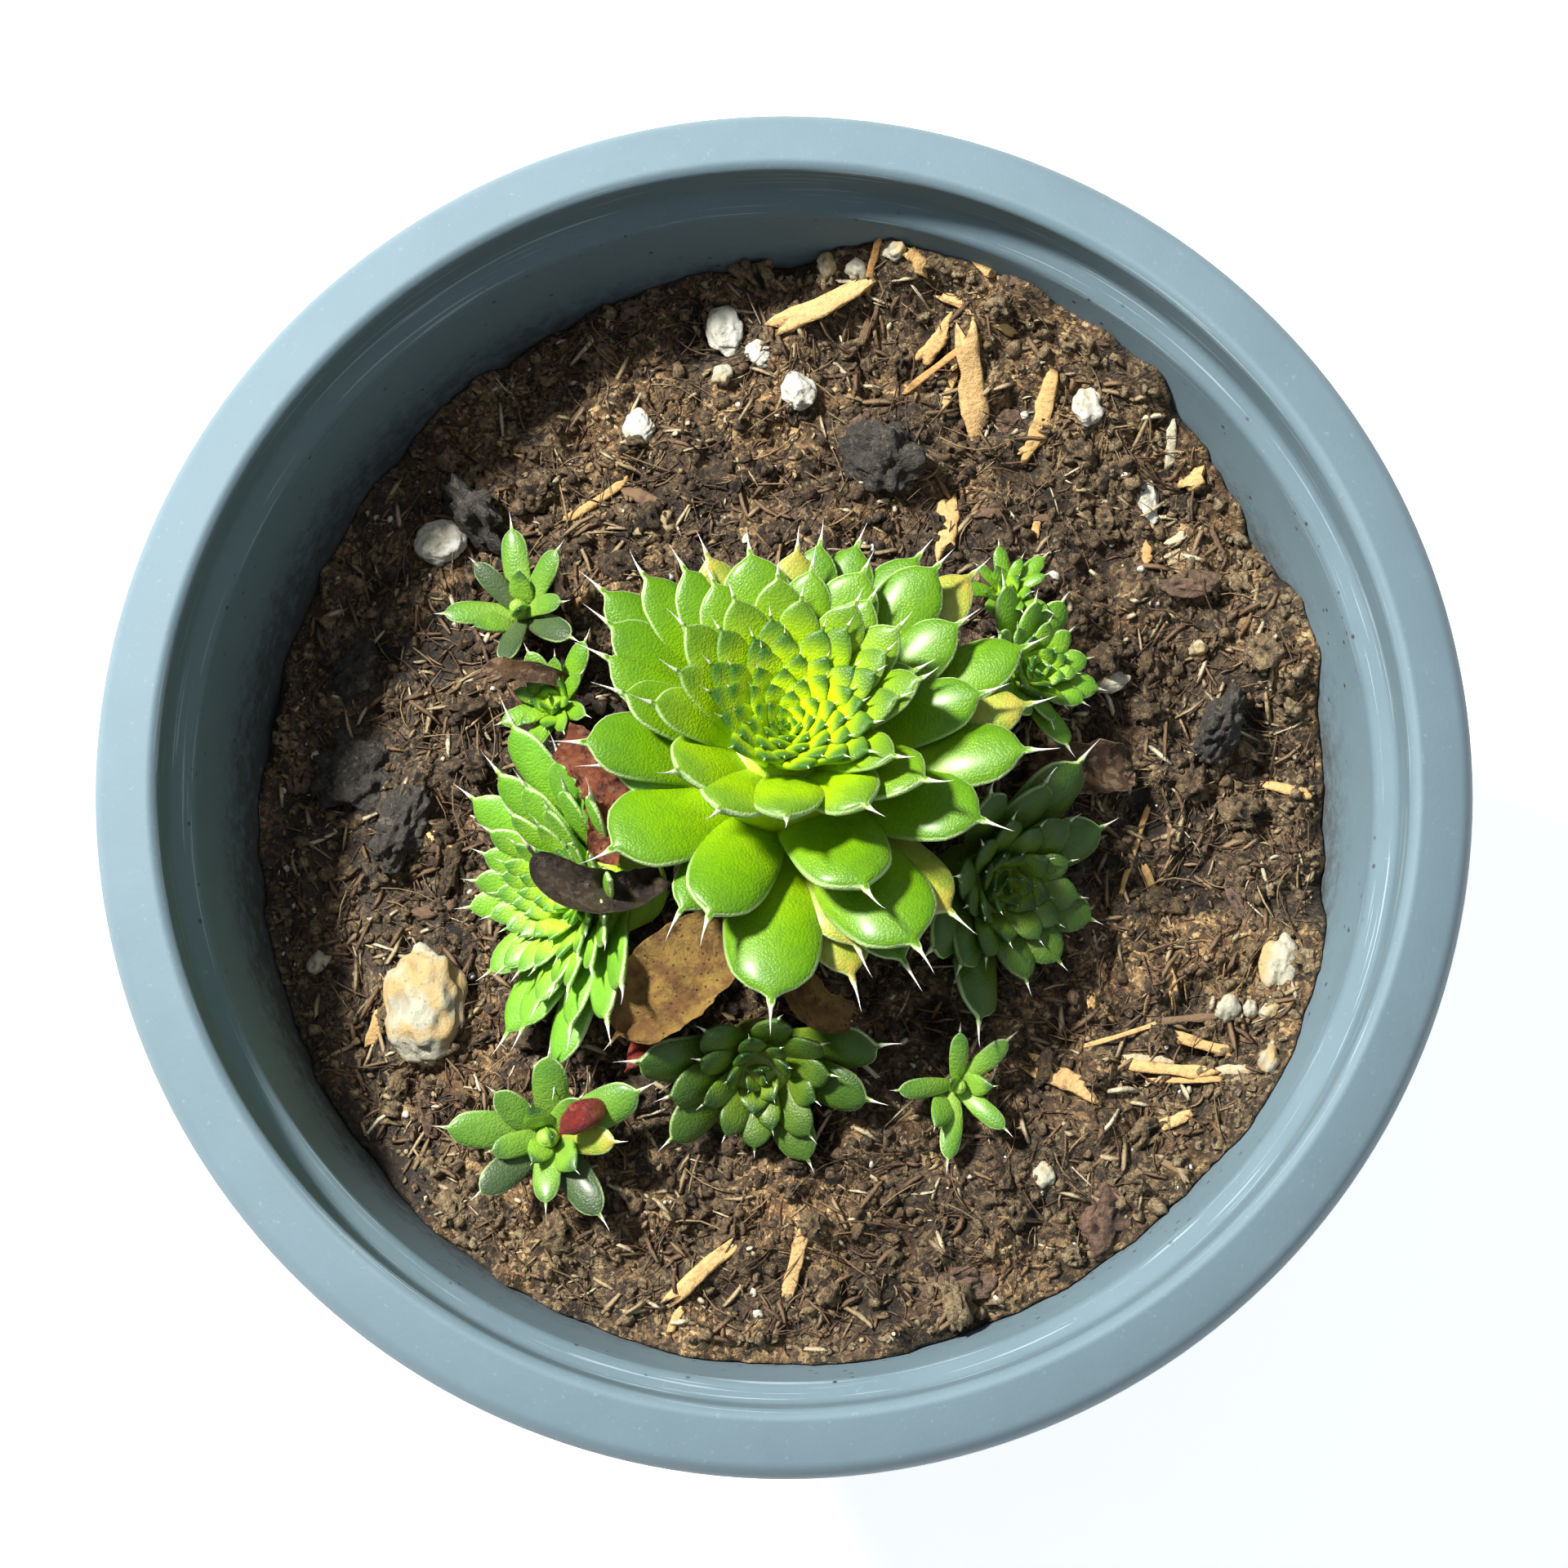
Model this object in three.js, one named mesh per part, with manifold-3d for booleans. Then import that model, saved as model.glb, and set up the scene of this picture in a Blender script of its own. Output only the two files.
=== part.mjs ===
// A spiny rosette succulent with its offsets, in a round plastic nursery pot of dark peat.
// Millimetres, +Z up, the origin on the table at the middle of the pot.
// +X is the right side and +Y the far side of the plant as it is seen from the front.
import * as THREE from "three";
import { mergeVertices } from "three/addons/utils/BufferGeometryUtils.js";
import Module from "manifold-3d";

const wasm = await Module();
wasm.setup();

// Driving dimensions of the pot.
const potHeight = 88;
const rimRadius = 52.6;
const mouthRadius = 47.6;
const skirtDepth = 6;
const wall = 1.1;
const ledgeRadius = 45.7;
const ledgeLevel = 82;
const floorRadius = 36.5;
const floorLevel = 4;
const footRadius = 37.6;
const footWidth = 2;
const footRecess = 1.6;
const drainRadius = 3.2;
const drainCircle = 22;
const drainCount = 4;
const potSides = 44;

// Pieces that touch keep this clearance to each other.
const clearance = 0.3;

// Driving dimensions of the plant.
const goldenAngle = 137.508;
const spineLength = 2.7;
const spineWidth = 0.75;
const leastThickness = 0.6;
const holeDepth = 6;
const stemRoom = 0.45;
const stemSides = 6;

// Each rosette: its growing point, the lean of its axis in degrees towards +X and +Y, the reach of
// its oldest leaves, the reach of the oldest leaf on the spiral, the number of leaves over which
// that falls to 1/e, how many open leaves there are, how many upright scales stand inside them,
// how high the tips round the growing point stand up as a bowl, the turn of the first leaf and the
// hand of the spiral, leaf width against the usual, how strongly and in which direction the leaves
// are held short, the stem's radius, and how thick the core is.
const rosettes = {
  main_rosette: {
    heart: [0.2, 3.3, 90.2], lean: [4, 16], reach: 19.5, spiral: 10.8, fade: 58, leaves: 36,
    scales: 30, bowl: 3.2, spin: 40, hand: 1, broad: 1, held: 0, heldAt: 250, stem: 2.4, core: 1,
  },
  left_rosette: {
    heart: [-17.4, -8.8, 80], lean: [-44, -16], reach: 15, spiral: 14.8, fade: 48, leaves: 44,
    scales: 10, bowl: 1.6, spin: 10, hand: -1, broad: 0.84, held: 0.42, heldAt: 0, stem: 1.8,
    core: 0.8,
  },
  right_rosette: {
    heart: [17.8, -8, 79.5], lean: [36, -18], reach: 12, spiral: 12, fade: 25, leaves: 22,
    scales: 7, bowl: 1, spin: 70, hand: 1, broad: 1.18, held: 0.3, heldAt: 165, stem: 1.6,
    core: 0.8,
  },
  front_rosette: {
    heart: [-1.9, -22.9, 78], lean: [3, -34], reach: 10.8, spiral: 10.8, fade: 21, leaves: 18,
    scales: 5, bowl: 1, spin: 25, hand: 1, broad: 1.16, held: 0.3, heldAt: 88, stem: 1.6,
    core: 0.8,
  },
  back_rosette: {
    heart: [20.4, 9.6, 79], lean: [34, 4], reach: 7.6, spiral: 7.6, fade: 20, leaves: 15,
    scales: 4, bowl: 0, spin: 120, hand: -1, broad: 1.1, held: 0.25, heldAt: 190, stem: 1.3,
    core: 0.8,
  },
  back_bud: {
    heart: [17.8, 16.4, 78.5], lean: [8, 20], reach: 4.4, spiral: 4.4, fade: 13, leaves: 8,
    scales: 2, bowl: 0, spin: 45, hand: 1, broad: 0.95, held: 0, heldAt: 0, stem: 1, core: 0.5,
  },
  side_bud: {
    heart: [-18.6, 7, 79], lean: [-24, 4], reach: 6, spiral: 6, fade: 13, leaves: 10,
    scales: 2, bowl: 0, spin: 60, hand: 1, broad: 1, held: 0.25, heldAt: 350, stem: 1, core: 0.5,
  },
  far_left_sprout: {
    heart: [-21.6, 15.2, 77.5], lean: [-16, 12], reach: 7, spiral: 7, fade: 13, leaves: 7,
    scales: 3, bowl: 0, spin: 100, hand: -1, broad: 0.95, held: 0, heldAt: 0, stem: 0.9,
    core: 0.3,
  },
  near_left_sprout: {
    heart: [-18.6, -27.4, 78], lean: [-6, -10], reach: 8.8, spiral: 8.8, fade: 12, leaves: 10,
    scales: 4, bowl: 0, spin: 30, hand: 1, broad: 1.05, held: 0, heldAt: 0, stem: 1.1, core: 0.3,
  },
  near_right_sprout: {
    heart: [13.8, -23.4, 77], lean: [8, -12], reach: 6, spiral: 6, fade: 13, leaves: 5,
    scales: 3, bowl: 0, spin: 265, hand: 1, broad: 0.85, held: 0, heldAt: 0, stem: 0.9,
    core: 0.3,
  },
};

// The oldest leaves of the main rosette, which lie out of step with the spiral: direction in
// degrees from +X towards +Y, reach of the blade from the axis, width, and how much its tip is
// raised. Leaves of the spiral that point less than `openTurn` from `heldAt` make way for them.
const oldLeaves = [
  [9, 19.2, 4.6, -1.2], [11, 15.3, 5, 0], [20, 10.5, 4, 0.4], [22, 20.2, 4.8, 0],
  [31, 15.9, 4.6, 0], [42, 20.6, 4.8, 0], [46, 17.8, 5.6, 0.6], [55, 18.2, 5, 0.2],
  [56, 11.7, 4.2, 0.6], [64, 13.6, 5.2, 1], [70, 16.8, 4.8, 0], [80, 12.5, 4.2, 0.6],
  [80, 15.5, 4.4, 0], [88, 14.6, 4.6, 0], [93, 10, 4.2, 0.6], [100, 13.8, 5.6, 1],
  [111, 15, 4.2, 0], [117, 12.6, 4.8, 0.5], [123, 14.8, 4.6, 0], [130, 16.2, 4.6, 0],
  [139, 18, 4.6, -0.6], [148, 15.7, 4.8, -0.6], [159, 14.7, 5, -1], [168, 12.5, 4.6, -0.6],
  [182, 15.3, 5.8, -2], [190, 13.5, 5, -3.8], [210, 10, 6.2, 1.4], [216, 16, 6.9, -3],
  [239, 10.2, 6, 1.8], [241, 15.5, 4.4, -5], [250, 16, 6.4, -2.4], [266, 20.2, 7.4, -4],
  [268, 9.4, 5.6, 2.2], [288, 16.4, 5, -7], [288, 18, 5, -8], [294, 14.4, 7.4, -1.6],
  [299, 18.7, 5, -7], [301, 19, 8.2, -3.6], [307, 10, 5.6, 2], [315, 18, 6, -5.4],
  [333, 16.4, 6.4, -1.5], [332, 11.6, 5.4, 1.6], [354, 18.5, 5.6, -1],
];
const openTurn = 69.5;

// Withered leaves: the four points of the blade's bent midline, its width and its edges' curl.
const dryLeaves = {
  dry_leaf_dark: {
    path: [[-9, -7.2, 82], [-12, -9.9, 84.6], [-16, -9.9, 85.4], [-19.3, -5.6, 84.4]],
    width: 3.5, curl: 0.5, spine: 1.6, color: 0x4a3226,
  },
  dry_leaf_russet: {
    path: [[-13.8, -7.2, 85.4], [-12.8, -3.6, 85.8], [-13, 0.4, 86.6], [-17, 2.2, 86.2]],
    width: 4.2, curl: 0.4, spine: 0.3, color: 0x8a4a35,
  },
  dry_leaf_tan: {
    path: [[-3.6, -11, 81.6], [-5.5, -13, 84.4], [-9.3, -16, 84.4], [-13, -19.7, 80.8]],
    width: 7, curl: 0.25, spine: 1.6, color: 0x9a7a3c,
  },
  dry_leaf_ochre: {
    path: [[0.4, -13.4, 81.4], [0.8, -16, 83.4], [2, -18, 83.2], [5, -18.4, 81.6]],
    width: 3.4, curl: 0.4, spine: 0.4, color: 0xa98a4a,
  },
  dry_leaf_thin: {
    path: [[-16.5, 8.6, 76.5], [-18.5, 8.8, 81], [-21.5, 9.2, 80.6], [-24.2, 8.6, 79.4]],
    width: 1.7, curl: 0.3, spine: 1, color: 0x8c6a48,
  },
  dry_leaf_shade: {
    path: [[19.4, 2.2, 73.1], [22, 2, 75.6], [25.5, 2.2, 75], [28, 2.6, 72.2]],
    width: 4.4, curl: 0.4, spine: 1, color: 0x6b4a36,
  },
  red_leaf_upper: {
    path: [[-9.2, -18.2, 72.2], [-9.8, -18.8, 77.2], [-10.6, -20, 79.6], [-12, -21.8, 77.6]],
    width: 2.4, curl: 0.1, spine: 0.4, color: 0x9c2f28,
  },
  red_leaf_lower: {
    path: [[-14.2, -25, 76.6], [-14.8, -25, 79.6], [-15.8, -25.6, 80.4], [-17, -26.8, 79]],
    width: 2.4, curl: 0.1, spine: 0.4, color: 0xa8382c,
  },
};

// Grains of white stone on the soil: place, length along X and Y, and turn in degrees.
const grains = [
  [-4.8, 39.0, 2.9, 4.1, 5], [-2.0, 36.8, 2.0, 2.3, 40], [1.2, 33.4, 2.6, 3.2, 20],
  [-11.9, 30.9, 2.6, 3.2, 0], [24.7, 31.9, 2.4, 3.1, 10], [29.5, 25.2, 2.0, 4.4, 8],
  [-28.3, 21.7, 4.2, 3.6, 20], [-28.8, -16.2, 6.4, 8.8, 6], [39.4, -13.4, 3.0, 4.8, 350],
  [26.4, 9.7, 2.9, 1.8, 15],
];
const grainSunk = 0.28;

// Splinters of wood on the soil: place, length, width, turn in degrees from +X.
const splinters = [
  [13.2, 22.4, 4.8, 1.8, 84], [3.3, 40.3, 8.2, 1.7, 24], [15.3, 33.8, 6.8, 2.0, 98],
  [21.0, 31.3, 5.4, 1.5, 74], [21.9, -22.3, 4.0, 1.6, 155], [-6.4, -37.4, 6.0, 1.2, 42],
  [1.0, -36.3, 5.6, 1.1, 76], [-30.4, -3.1, 4.2, 1.2, 12],
];
const splinterThickness = 0.9;

// Banks of soil against the wall: turn and half width in degrees, and rise.
const banks = [[62, 25, 7], [19, 8, 5.5], [335, 15, 5]];
const bankFoot = 36;
const bankDepth = 9;

// Small helpers: a repeatable draw between 0 and 1, and degrees.
const draw = (number, kind) => {
  const value = Math.sin(number * 12.9898 + kind * 78.233) * 43758.5453;
  return value - Math.floor(value);
};
const radians = THREE.MathUtils.degToRad;

// Height of the soil's surface. It stands highest round the plant and at the near and far sides,
// falls towards the left wall most, rolls in lumps of peat, and banks up against the wall.
function soilHeight(x, y) {
  const across = x / 45;
  const deep = y / 45;
  const out = Math.hypot(across, deep);
  const slope = 2.9 * across * out - 0.9 * deep * out - 3.5 * (across ** 2 - deep ** 2);
  const rolls = 0.8 * Math.sin(0.41 * x + 1.3) * Math.cos(0.36 * y - 0.6);
  const lumps = 0.6 * Math.sin(0.83 * x - 0.5 * y + 2) * Math.sin(0.7 * y + 0.4 * x);
  const ramp = THREE.MathUtils.clamp((45 * out - bankFoot) / bankDepth, 0, 1) ** 1.5;
  const turn = THREE.MathUtils.radToDeg(Math.atan2(y, x));
  const bank = banks.reduce((sum, [centre, halfWidth, rise]) => {
    const away = THREE.MathUtils.euclideanModulo(turn - centre + 180, 360) - 180;
    return sum + rise * Math.exp(-((away / halfWidth) ** 4));
  }, 0);
  return 73 - 3.6 * out ** 2 + slope + rolls + lumps + bank * ramp;
}

// Radius of the pot's inside at a height below its ledge.
const insideRadius = (z) =>
  floorRadius + ((ledgeRadius - floorRadius) * (z - floorLevel)) / (ledgeLevel - floorLevel);

// A closed three.js geometry as a solid with its faces outward.
function solid(geometry) {
  const bare = geometry.index ? geometry.clone() : geometry;
  bare.deleteAttribute("normal");
  bare.deleteAttribute("uv");
  const joined = mergeVertices(bare, 1e-4);
  const points = joined.attributes.position.array;
  const corners = Array.from(joined.index.array);
  const kept = [];
  let volume = 0;
  for (let i = 0; i < corners.length; i += 3) {
    const [a, b, c] = corners.slice(i, i + 3);
    if (a === b || b === c || c === a) continue;
    kept.push([a, b, c]);
    const [p, q, r] = [a, b, c].map((k) => new THREE.Vector3().fromArray(points, 3 * k));
    volume += p.dot(q.cross(r));
  }
  const triVerts = kept.flatMap(([a, b, c]) => (volume > 0 ? [a, b, c] : [a, c, b]));
  const mesh = new wasm.Mesh({
    numProp: 3,
    vertProperties: new Float32Array(points),
    triVerts: new Uint32Array(triVerts),
  });
  return new wasm.Manifold(mesh);
}

// The solid with the largest volume of those that a cut left.
function largest(cut) {
  const pieces = cut.decompose();
  return pieces.reduce((best, piece) => (piece.volume() > best.volume() ? piece : best));
}

// A solid as a geometry again.
function geometryOf(body) {
  const mesh = body.getMesh();
  const geometry = new THREE.BufferGeometry();
  geometry.setAttribute("position", new THREE.BufferAttribute(mesh.vertProperties, 3));
  geometry.setIndex(new THREE.BufferAttribute(mesh.triVerts, 1));
  geometry.computeVertexNormals();
  return geometry;
}

const model = new THREE.Group();

function addPiece(name, body, color, roughness) {
  const finish = new THREE.MeshStandardMaterial({ color, roughness, metalness: 0 });
  const mesh = new THREE.Mesh(geometryOf(body), finish);
  mesh.name = name;
  model.add(mesh);
}

// A profile of [radius, height] points turned about +Z.
function turned(profile, sides) {
  const points = profile.map(([radius, height]) => new THREE.Vector2(radius, height));
  return new THREE.LatheGeometry(points, sides).rotateX(Math.PI / 2);
}

// A ball whose rings become stations along a leaf: row 0 is the root, the last row is the tip of
// the spine, and `place` gives the point for a row and an angle round the section.
function bentBall(sides, rows, place) {
  const ball = new THREE.SphereGeometry(1, sides, rows);
  const { position, uv } = ball.attributes;
  for (let i = 0; i < position.count; i += 1) {
    const row = Math.round((1 - uv.getY(i)) * rows);
    const point = place(row, uv.getX(i) * 2 * Math.PI);
    position.setXYZ(i, point.x, point.y, point.z);
  }
  return ball;
}

// Half width of a leaf against its greatest: narrow at the root, widest at the shoulder, rounded
// off, and drawn out to the spine by a cusp. A `sharp` leaf tapers sooner and has no cusp.
function outline(along, sharp) {
  const shoulder = 0.6 - 0.14 * sharp;
  const spread = 0.38 + 0.62 * Math.sin((Math.PI / 2) * Math.min(along / shoulder, 1));
  const past = THREE.MathUtils.clamp((along - shoulder) / (0.96 + 0.04 * sharp - shoulder), 0, 1);
  const round = spread * (1 - past ** 2.6) ** (0.44 + 0.5 * sharp);
  const cusp = 0.5 * (1 - sharp) * Math.exp((0.88 - Math.max(along, 0.88)) / 0.055);
  return Math.cbrt(round ** 3 + cusp ** 3);
}

// A fleshy leaf along its midline, with a lens-shaped section, its edges raised by `cup`, and a
// straight spine that carries on from the blade's end. `extra` is added all round.
function leafSolid(leaf, { sides, stations }, extra = 0) {
  const chord = leaf.line.getPoint(1).sub(leaf.line.getPoint(0));
  const side = new THREE.Vector3().crossVectors(leaf.up, chord).normalize();
  const rows = stations.length + 1;
  const place = (row, angle) => {
    const along = row === 0 ? 0 : (stations[row - 1] ?? 1);
    const spot = leaf.line.getPoint(along);
    const heading = leaf.line.getTangent(along);
    if (row === 0) return spot.addScaledVector(heading, -extra);
    if (row === rows) return spot.addScaledVector(heading, leaf.spine + extra);
    const across = new THREE.Vector3().copy(side).addScaledVector(heading, -side.dot(heading));
    across.normalize();
    const up = new THREE.Vector3().crossVectors(heading, across);
    const last = row === rows - 1 && stations.length > 1;
    const blade = Math.max((leaf.width / 2) * outline(along, leaf.sharp), spineWidth / 2);
    const half = last ? spineWidth / 2 : blade;
    const thick = last ? leastThickness / 2 : Math.max(leaf.thickness / 2, leastThickness / 2);
    const raised = last ? 0 : leaf.cup * Math.cos(angle) ** 2 * half;
    return spot
      .addScaledVector(across, Math.cos(angle) * (half + extra))
      .addScaledVector(up, Math.sin(angle) * (thick + extra) + raised);
  };
  return solid(bentBall(sides, rows, place));
}

// The axes of a rosette: `axis` points out of its growing point, `right` and `far` across it.
function frameOf(rosette) {
  const [right, far] = rosette.lean.map((degrees) => Math.tan(radians(degrees)));
  const axis = new THREE.Vector3(right, far, 1).normalize();
  const e1 = new THREE.Vector3(0, 1, 0).cross(axis).normalize();
  const e2 = new THREE.Vector3().crossVectors(axis, e1);
  return { heart: new THREE.Vector3(...rosette.heart), axis, e1, e2 };
}

// One leaf of a rosette. The scales stand round the growing point and the old leaves lie open
// below it: `size` is the leaf's reach against the rosette's, and every height follows from it.
function leafOf(rosette, frame, { number, turn, reach, width, raised, scale }) {
  const size = reach / rosette.reach;
  const angle = radians(turn);
  const out = new THREE.Vector3()
    .addScaledVector(frame.e1, Math.cos(angle))
    .addScaledVector(frame.e2, Math.sin(angle));
  const at = (radius, height) =>
    frame.heart.clone().addScaledVector(out, radius).addScaledVector(frame.axis, height);
  const tipHeight = rosette.reach * (0.26 * size * (1 - size) - 0.06 * size ** 3) + raised;
  const sparse = rosette.core < 0.8;
  const rootRadius = scale
    ? (sparse ? 0.15 : 0.5) * reach
    : rosette.reach * (sparse ? 0.05 : 0.2) * size ** 0.8;
  const rootHeight = scale
    ? tipHeight - 0.7 * raised - 2.6 - 0.35 * reach
    : -rosette.reach * (0.08 + 0.42 * size ** 0.7) + 0.2 * raised;
  const root = at(rootRadius, rootHeight);
  const tip = at(reach, tipHeight + (draw(number, 3) - 0.5) * 0.06 * reach);
  const climb = tipHeight - rootHeight;
  const span = reach - rootRadius;
  const bow = 0.13 + 0.05 * draw(number, 4);
  const knee = root.clone().lerp(tip, 0.5).addScaledVector(out, -climb * bow);
  knee.addScaledVector(frame.axis, span * bow);
  const away = THREE.MathUtils.clamp(-Math.cos(radians(turn - rosette.heldAt)), 0, 1);
  return {
    line: new THREE.QuadraticBezierCurve3(root, knee, tip),
    up: new THREE.Vector3().addScaledVector(out, -climb).addScaledVector(frame.axis, span),
    width,
    cup: 0.16 - 0.26 * size,
    thickness: Math.max((scale ? 0.3 : 0.34) * width, leastThickness),
    spine: spineLength * (0.1 + 0.9 * Math.min(1, (reach / 12) ** 1.4)) * (1 - 0.35 * away),
    sharp: scale ? 1 : 0.25 * (1 - size),
    reach,
  };
}

// All leaves of a rosette, oldest first: those that lie open on the spiral, and the upright scales
// inside them, which reach in to the growing point.
function leavesOf(name) {
  const rosette = rosettes[name];
  const frame = frameOf(rosette);
  const leaves = [];
  const varied = (width, number) => width * (0.95 + 0.1 * draw(number, 5));
  if (name === "main_rosette") {
    oldLeaves.forEach(([turn, reach, width, raised], i) => {
      const number = i + 300;
      const leaf = { number, turn, reach, width: varied(width, number), raised, scale: false };
      leaves.push(leafOf(rosette, frame, leaf));
    });
  }
  const disc = rosette.spiral * Math.exp(-rosette.leaves / rosette.fade);
  for (let number = 0; number < rosette.leaves + rosette.scales; number += 1) {
    const scale = number >= rosette.leaves;
    const turn = rosette.spin + rosette.hand * goldenAngle * number + (draw(number, 1) - 0.5) * 8;
    const facing = Math.cos(radians(turn - rosette.heldAt));
    const left = (rosette.leaves + rosette.scales - number - 0.5) / rosette.scales;
    const full = scale ? disc * left ** 0.75 : rosette.spiral * Math.exp(-number / rosette.fade);
    const short = 1 - rosette.held * facing ** 2;
    const reach = full * short * (0.96 + 0.08 * draw(number, 2));
    const usual = reach * (0.48 - (0.12 * reach) / rosette.reach) * rosette.broad;
    const width = scale ? (1.4 + 0.34 * reach) * rosette.broad : varied(usual, number);
    const raised = rosette.bowl * (1 - Math.exp(-((reach / 5) ** 2)));
    const given = name === "main_rosette" && !scale && facing > Math.cos(radians(openTurn));
    if (given) continue;
    leaves.push(leafOf(rosette, frame, { number, turn, reach, width, raised, scale }));
  }
  return leaves;
}

// The woody core that the leaves grow from, and its stem down into the soil.
function coreOf(name, extra = 0) {
  const rosette = rosettes[name];
  const frame = frameOf(rosette);
  const size = rosette.reach;
  const profile = [
    [0, -0.07], [0.13, -0.08], [0.29, -0.13], [0.35, -0.23], [0.3, -0.39], [0.25, -0.61], [0, -0.69],
  ].map(([radius, height]) => [radius && radius * size * rosette.core + extra, height * size]);
  const turn = new THREE.Matrix4().makeBasis(frame.e1, frame.e2, frame.axis);
  const sides = rosette.core < 0.8 ? 6 : 10;
  const core = turned(profile, sides).applyMatrix4(turn).translate(...rosette.heart);
  const foot = footOf(rosette);
  const bottom = soilHeight(foot.x, foot.y) - holeDepth + clearance - extra;
  const radius = rosette.stem + extra;
  const line = [[0, bottom], [radius, bottom], [radius, foot.z], [0, foot.z]];
  const stem = turned(line, stemSides);
  return solid(core).add(solid(stem.translate(foot.x, foot.y, 0)));
}

// The sides of a leaf and its stations from root to tip, by its reach.
function stationsFor({ reach }) {
  if (reach > 14.6) return { sides: 6, stations: [0.5, 0.88, 0.995] };
  if (reach > 8) return { sides: 4, stations: [0.55, 0.9, 0.99] };
  if (reach > 5) return { sides: 4, stations: [0.6, 0.92] };
  return { sides: 4, stations: [0.72] };
}

function rosetteSolid(name, extra = 0) {
  let body = coreOf(name, extra);
  leavesOf(name).forEach((leaf) => {
    body = body.add(leafSolid(leaf, stationsFor(leaf), extra));
  });
  return body;
}

// The pot: foot ring, tapered wall, collar, and a rim that slopes out and hangs down as a skirt.
function potSolid() {
  const collar = ledgeRadius + 2.4;
  const skirtBottom = potHeight - 1.6 - skirtDepth;
  const profile = [
    [0, footRecess],
    [footRadius - footWidth - 0.3, footRecess],
    [footRadius - footWidth, 0],
    [footRadius, 0],
    [ledgeRadius + wall, ledgeLevel - 2.5],
    [collar, ledgeLevel - 1],
    [collar, potHeight - 3],
    [rimRadius - wall, potHeight - 3.6],
    [rimRadius - wall, skirtBottom],
    [rimRadius - 0.1, skirtBottom],
    [rimRadius, potHeight - 2.6],
    [rimRadius - 0.9, potHeight - 1.2],
    [mouthRadius + 0.4, potHeight],
    [mouthRadius - 0.3, potHeight - 0.6],
    [ledgeRadius + 1.5, ledgeLevel + 1.5],
    [ledgeRadius - 0.1, ledgeLevel - 0.2],
    [floorRadius, floorLevel],
    [0, floorLevel],
  ];
  let body = solid(turned(profile, potSides));
  for (let i = 0; i < drainCount; i += 1) {
    const angle = (2 * Math.PI * (i + 0.5)) / drainCount;
    const hole = turned([[0, -1], [drainRadius, -1], [drainRadius, 6], [0, 6]], 10);
    hole.translate(drainCircle * Math.cos(angle), drainCircle * Math.sin(angle), 0);
    body = body.subtract(solid(hole));
  }
  return body;
}

// Where a rosette's stem meets the ground.
function footOf(rosette) {
  const { heart, axis } = frameOf(rosette);
  return heart.addScaledVector(axis, -0.5 * rosette.reach);
}

// The soil: it fills the pot up to the height formula, with a plain hole for each stem. A grid of
// rings carries the surface, raised by `extra`.
function soilSolid(extra = 0) {
  const rings = 8;
  const profile = [[0, 1]];
  for (let i = 1; i <= rings; i += 1) profile.push([i / rings, 1]);
  profile.push([1, 0], [0, 0]);
  const geometry = turned(profile, 36);
  const { position } = geometry.attributes;
  for (let i = 0; i < position.count; i += 1) {
    const share = Math.hypot(position.getX(i), position.getY(i));
    const angle = Math.atan2(position.getY(i), position.getX(i));
    const top = position.getZ(i) > 0.5;
    const low = floorLevel + clearance;
    const edge = insideRadius(top ? 70 : low) - clearance - 0.12;
    let x = share * edge * Math.cos(angle);
    let y = share * edge * Math.sin(angle);
    const z = top ? soilHeight(x, y) + extra : low;
    if (top && share > 0.99) {
      const radius = insideRadius(z) - clearance - 0.12;
      x = radius * Math.cos(angle);
      y = radius * Math.sin(angle);
    }
    position.setXYZ(i, x, y, z);
  }
  let body = solid(geometry);
  Object.values(rosettes).forEach((rosette) => {
    const foot = footOf(rosette);
    const bottom = soilHeight(foot.x, foot.y) - holeDepth;
    const radius = rosette.stem + stemRoom;
    const line = [[0, bottom], [radius, bottom], [radius, potHeight], [0, potHeight]];
    const hole = turned(line, stemSides).translate(foot.x, foot.y, 0);
    body = body.subtract(solid(hole));
  });
  return body;
}

// A grain of stone: a ball with a dent or two, sunk a little into the soil.
function grainSolid([x, y, wide, deep, turn], number, extra = 0) {
  const ball = new THREE.SphereGeometry(1, 6, 4).rotateX(Math.PI / 2);
  const { position } = ball.attributes;
  const tall = 0.7 * Math.min(wide, deep);
  for (let i = 0; i < position.count; i += 1) {
    const [px, py, pz] = [position.getX(i), position.getY(i), position.getZ(i)];
    const knob = 1 + 0.1 * Math.sin(2.3 * px + 3.1 * py + number) + 0.08 * Math.sin(4 * pz - number);
    position.setXYZ(
      i,
      px * ((wide / 2) * knob + extra),
      py * ((deep / 2) * knob + extra),
      pz * ((tall / 2) * knob + extra),
    );
  }
  ball.rotateZ(radians(turn)).translate(x, y, soilHeight(x, y) + tall * (0.5 - grainSunk));
  return solid(ball);
}

// A splinter of wood: a flat box pressed lightly into the soil, tilted with the ground.
function splinterSolid([x, y, length, width, turn], extra = 0) {
  const box = new THREE.BoxGeometry(
    length + 2 * extra,
    width + 2 * extra,
    splinterThickness + 2 * extra,
  );
  const angle = radians(turn);
  const reach = length / 2;
  const [dx, dy] = [reach * Math.cos(angle), reach * Math.sin(angle)];
  const ahead = soilHeight(x + dx, y + dy);
  const behind = soilHeight(x - dx, y - dy);
  const level = Math.max(soilHeight(x, y), (ahead + behind) / 2) + 0.15;
  box.rotateY(-Math.atan2(ahead - behind, length)).rotateZ(angle);
  return solid(box.translate(x, y, level));
}

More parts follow.
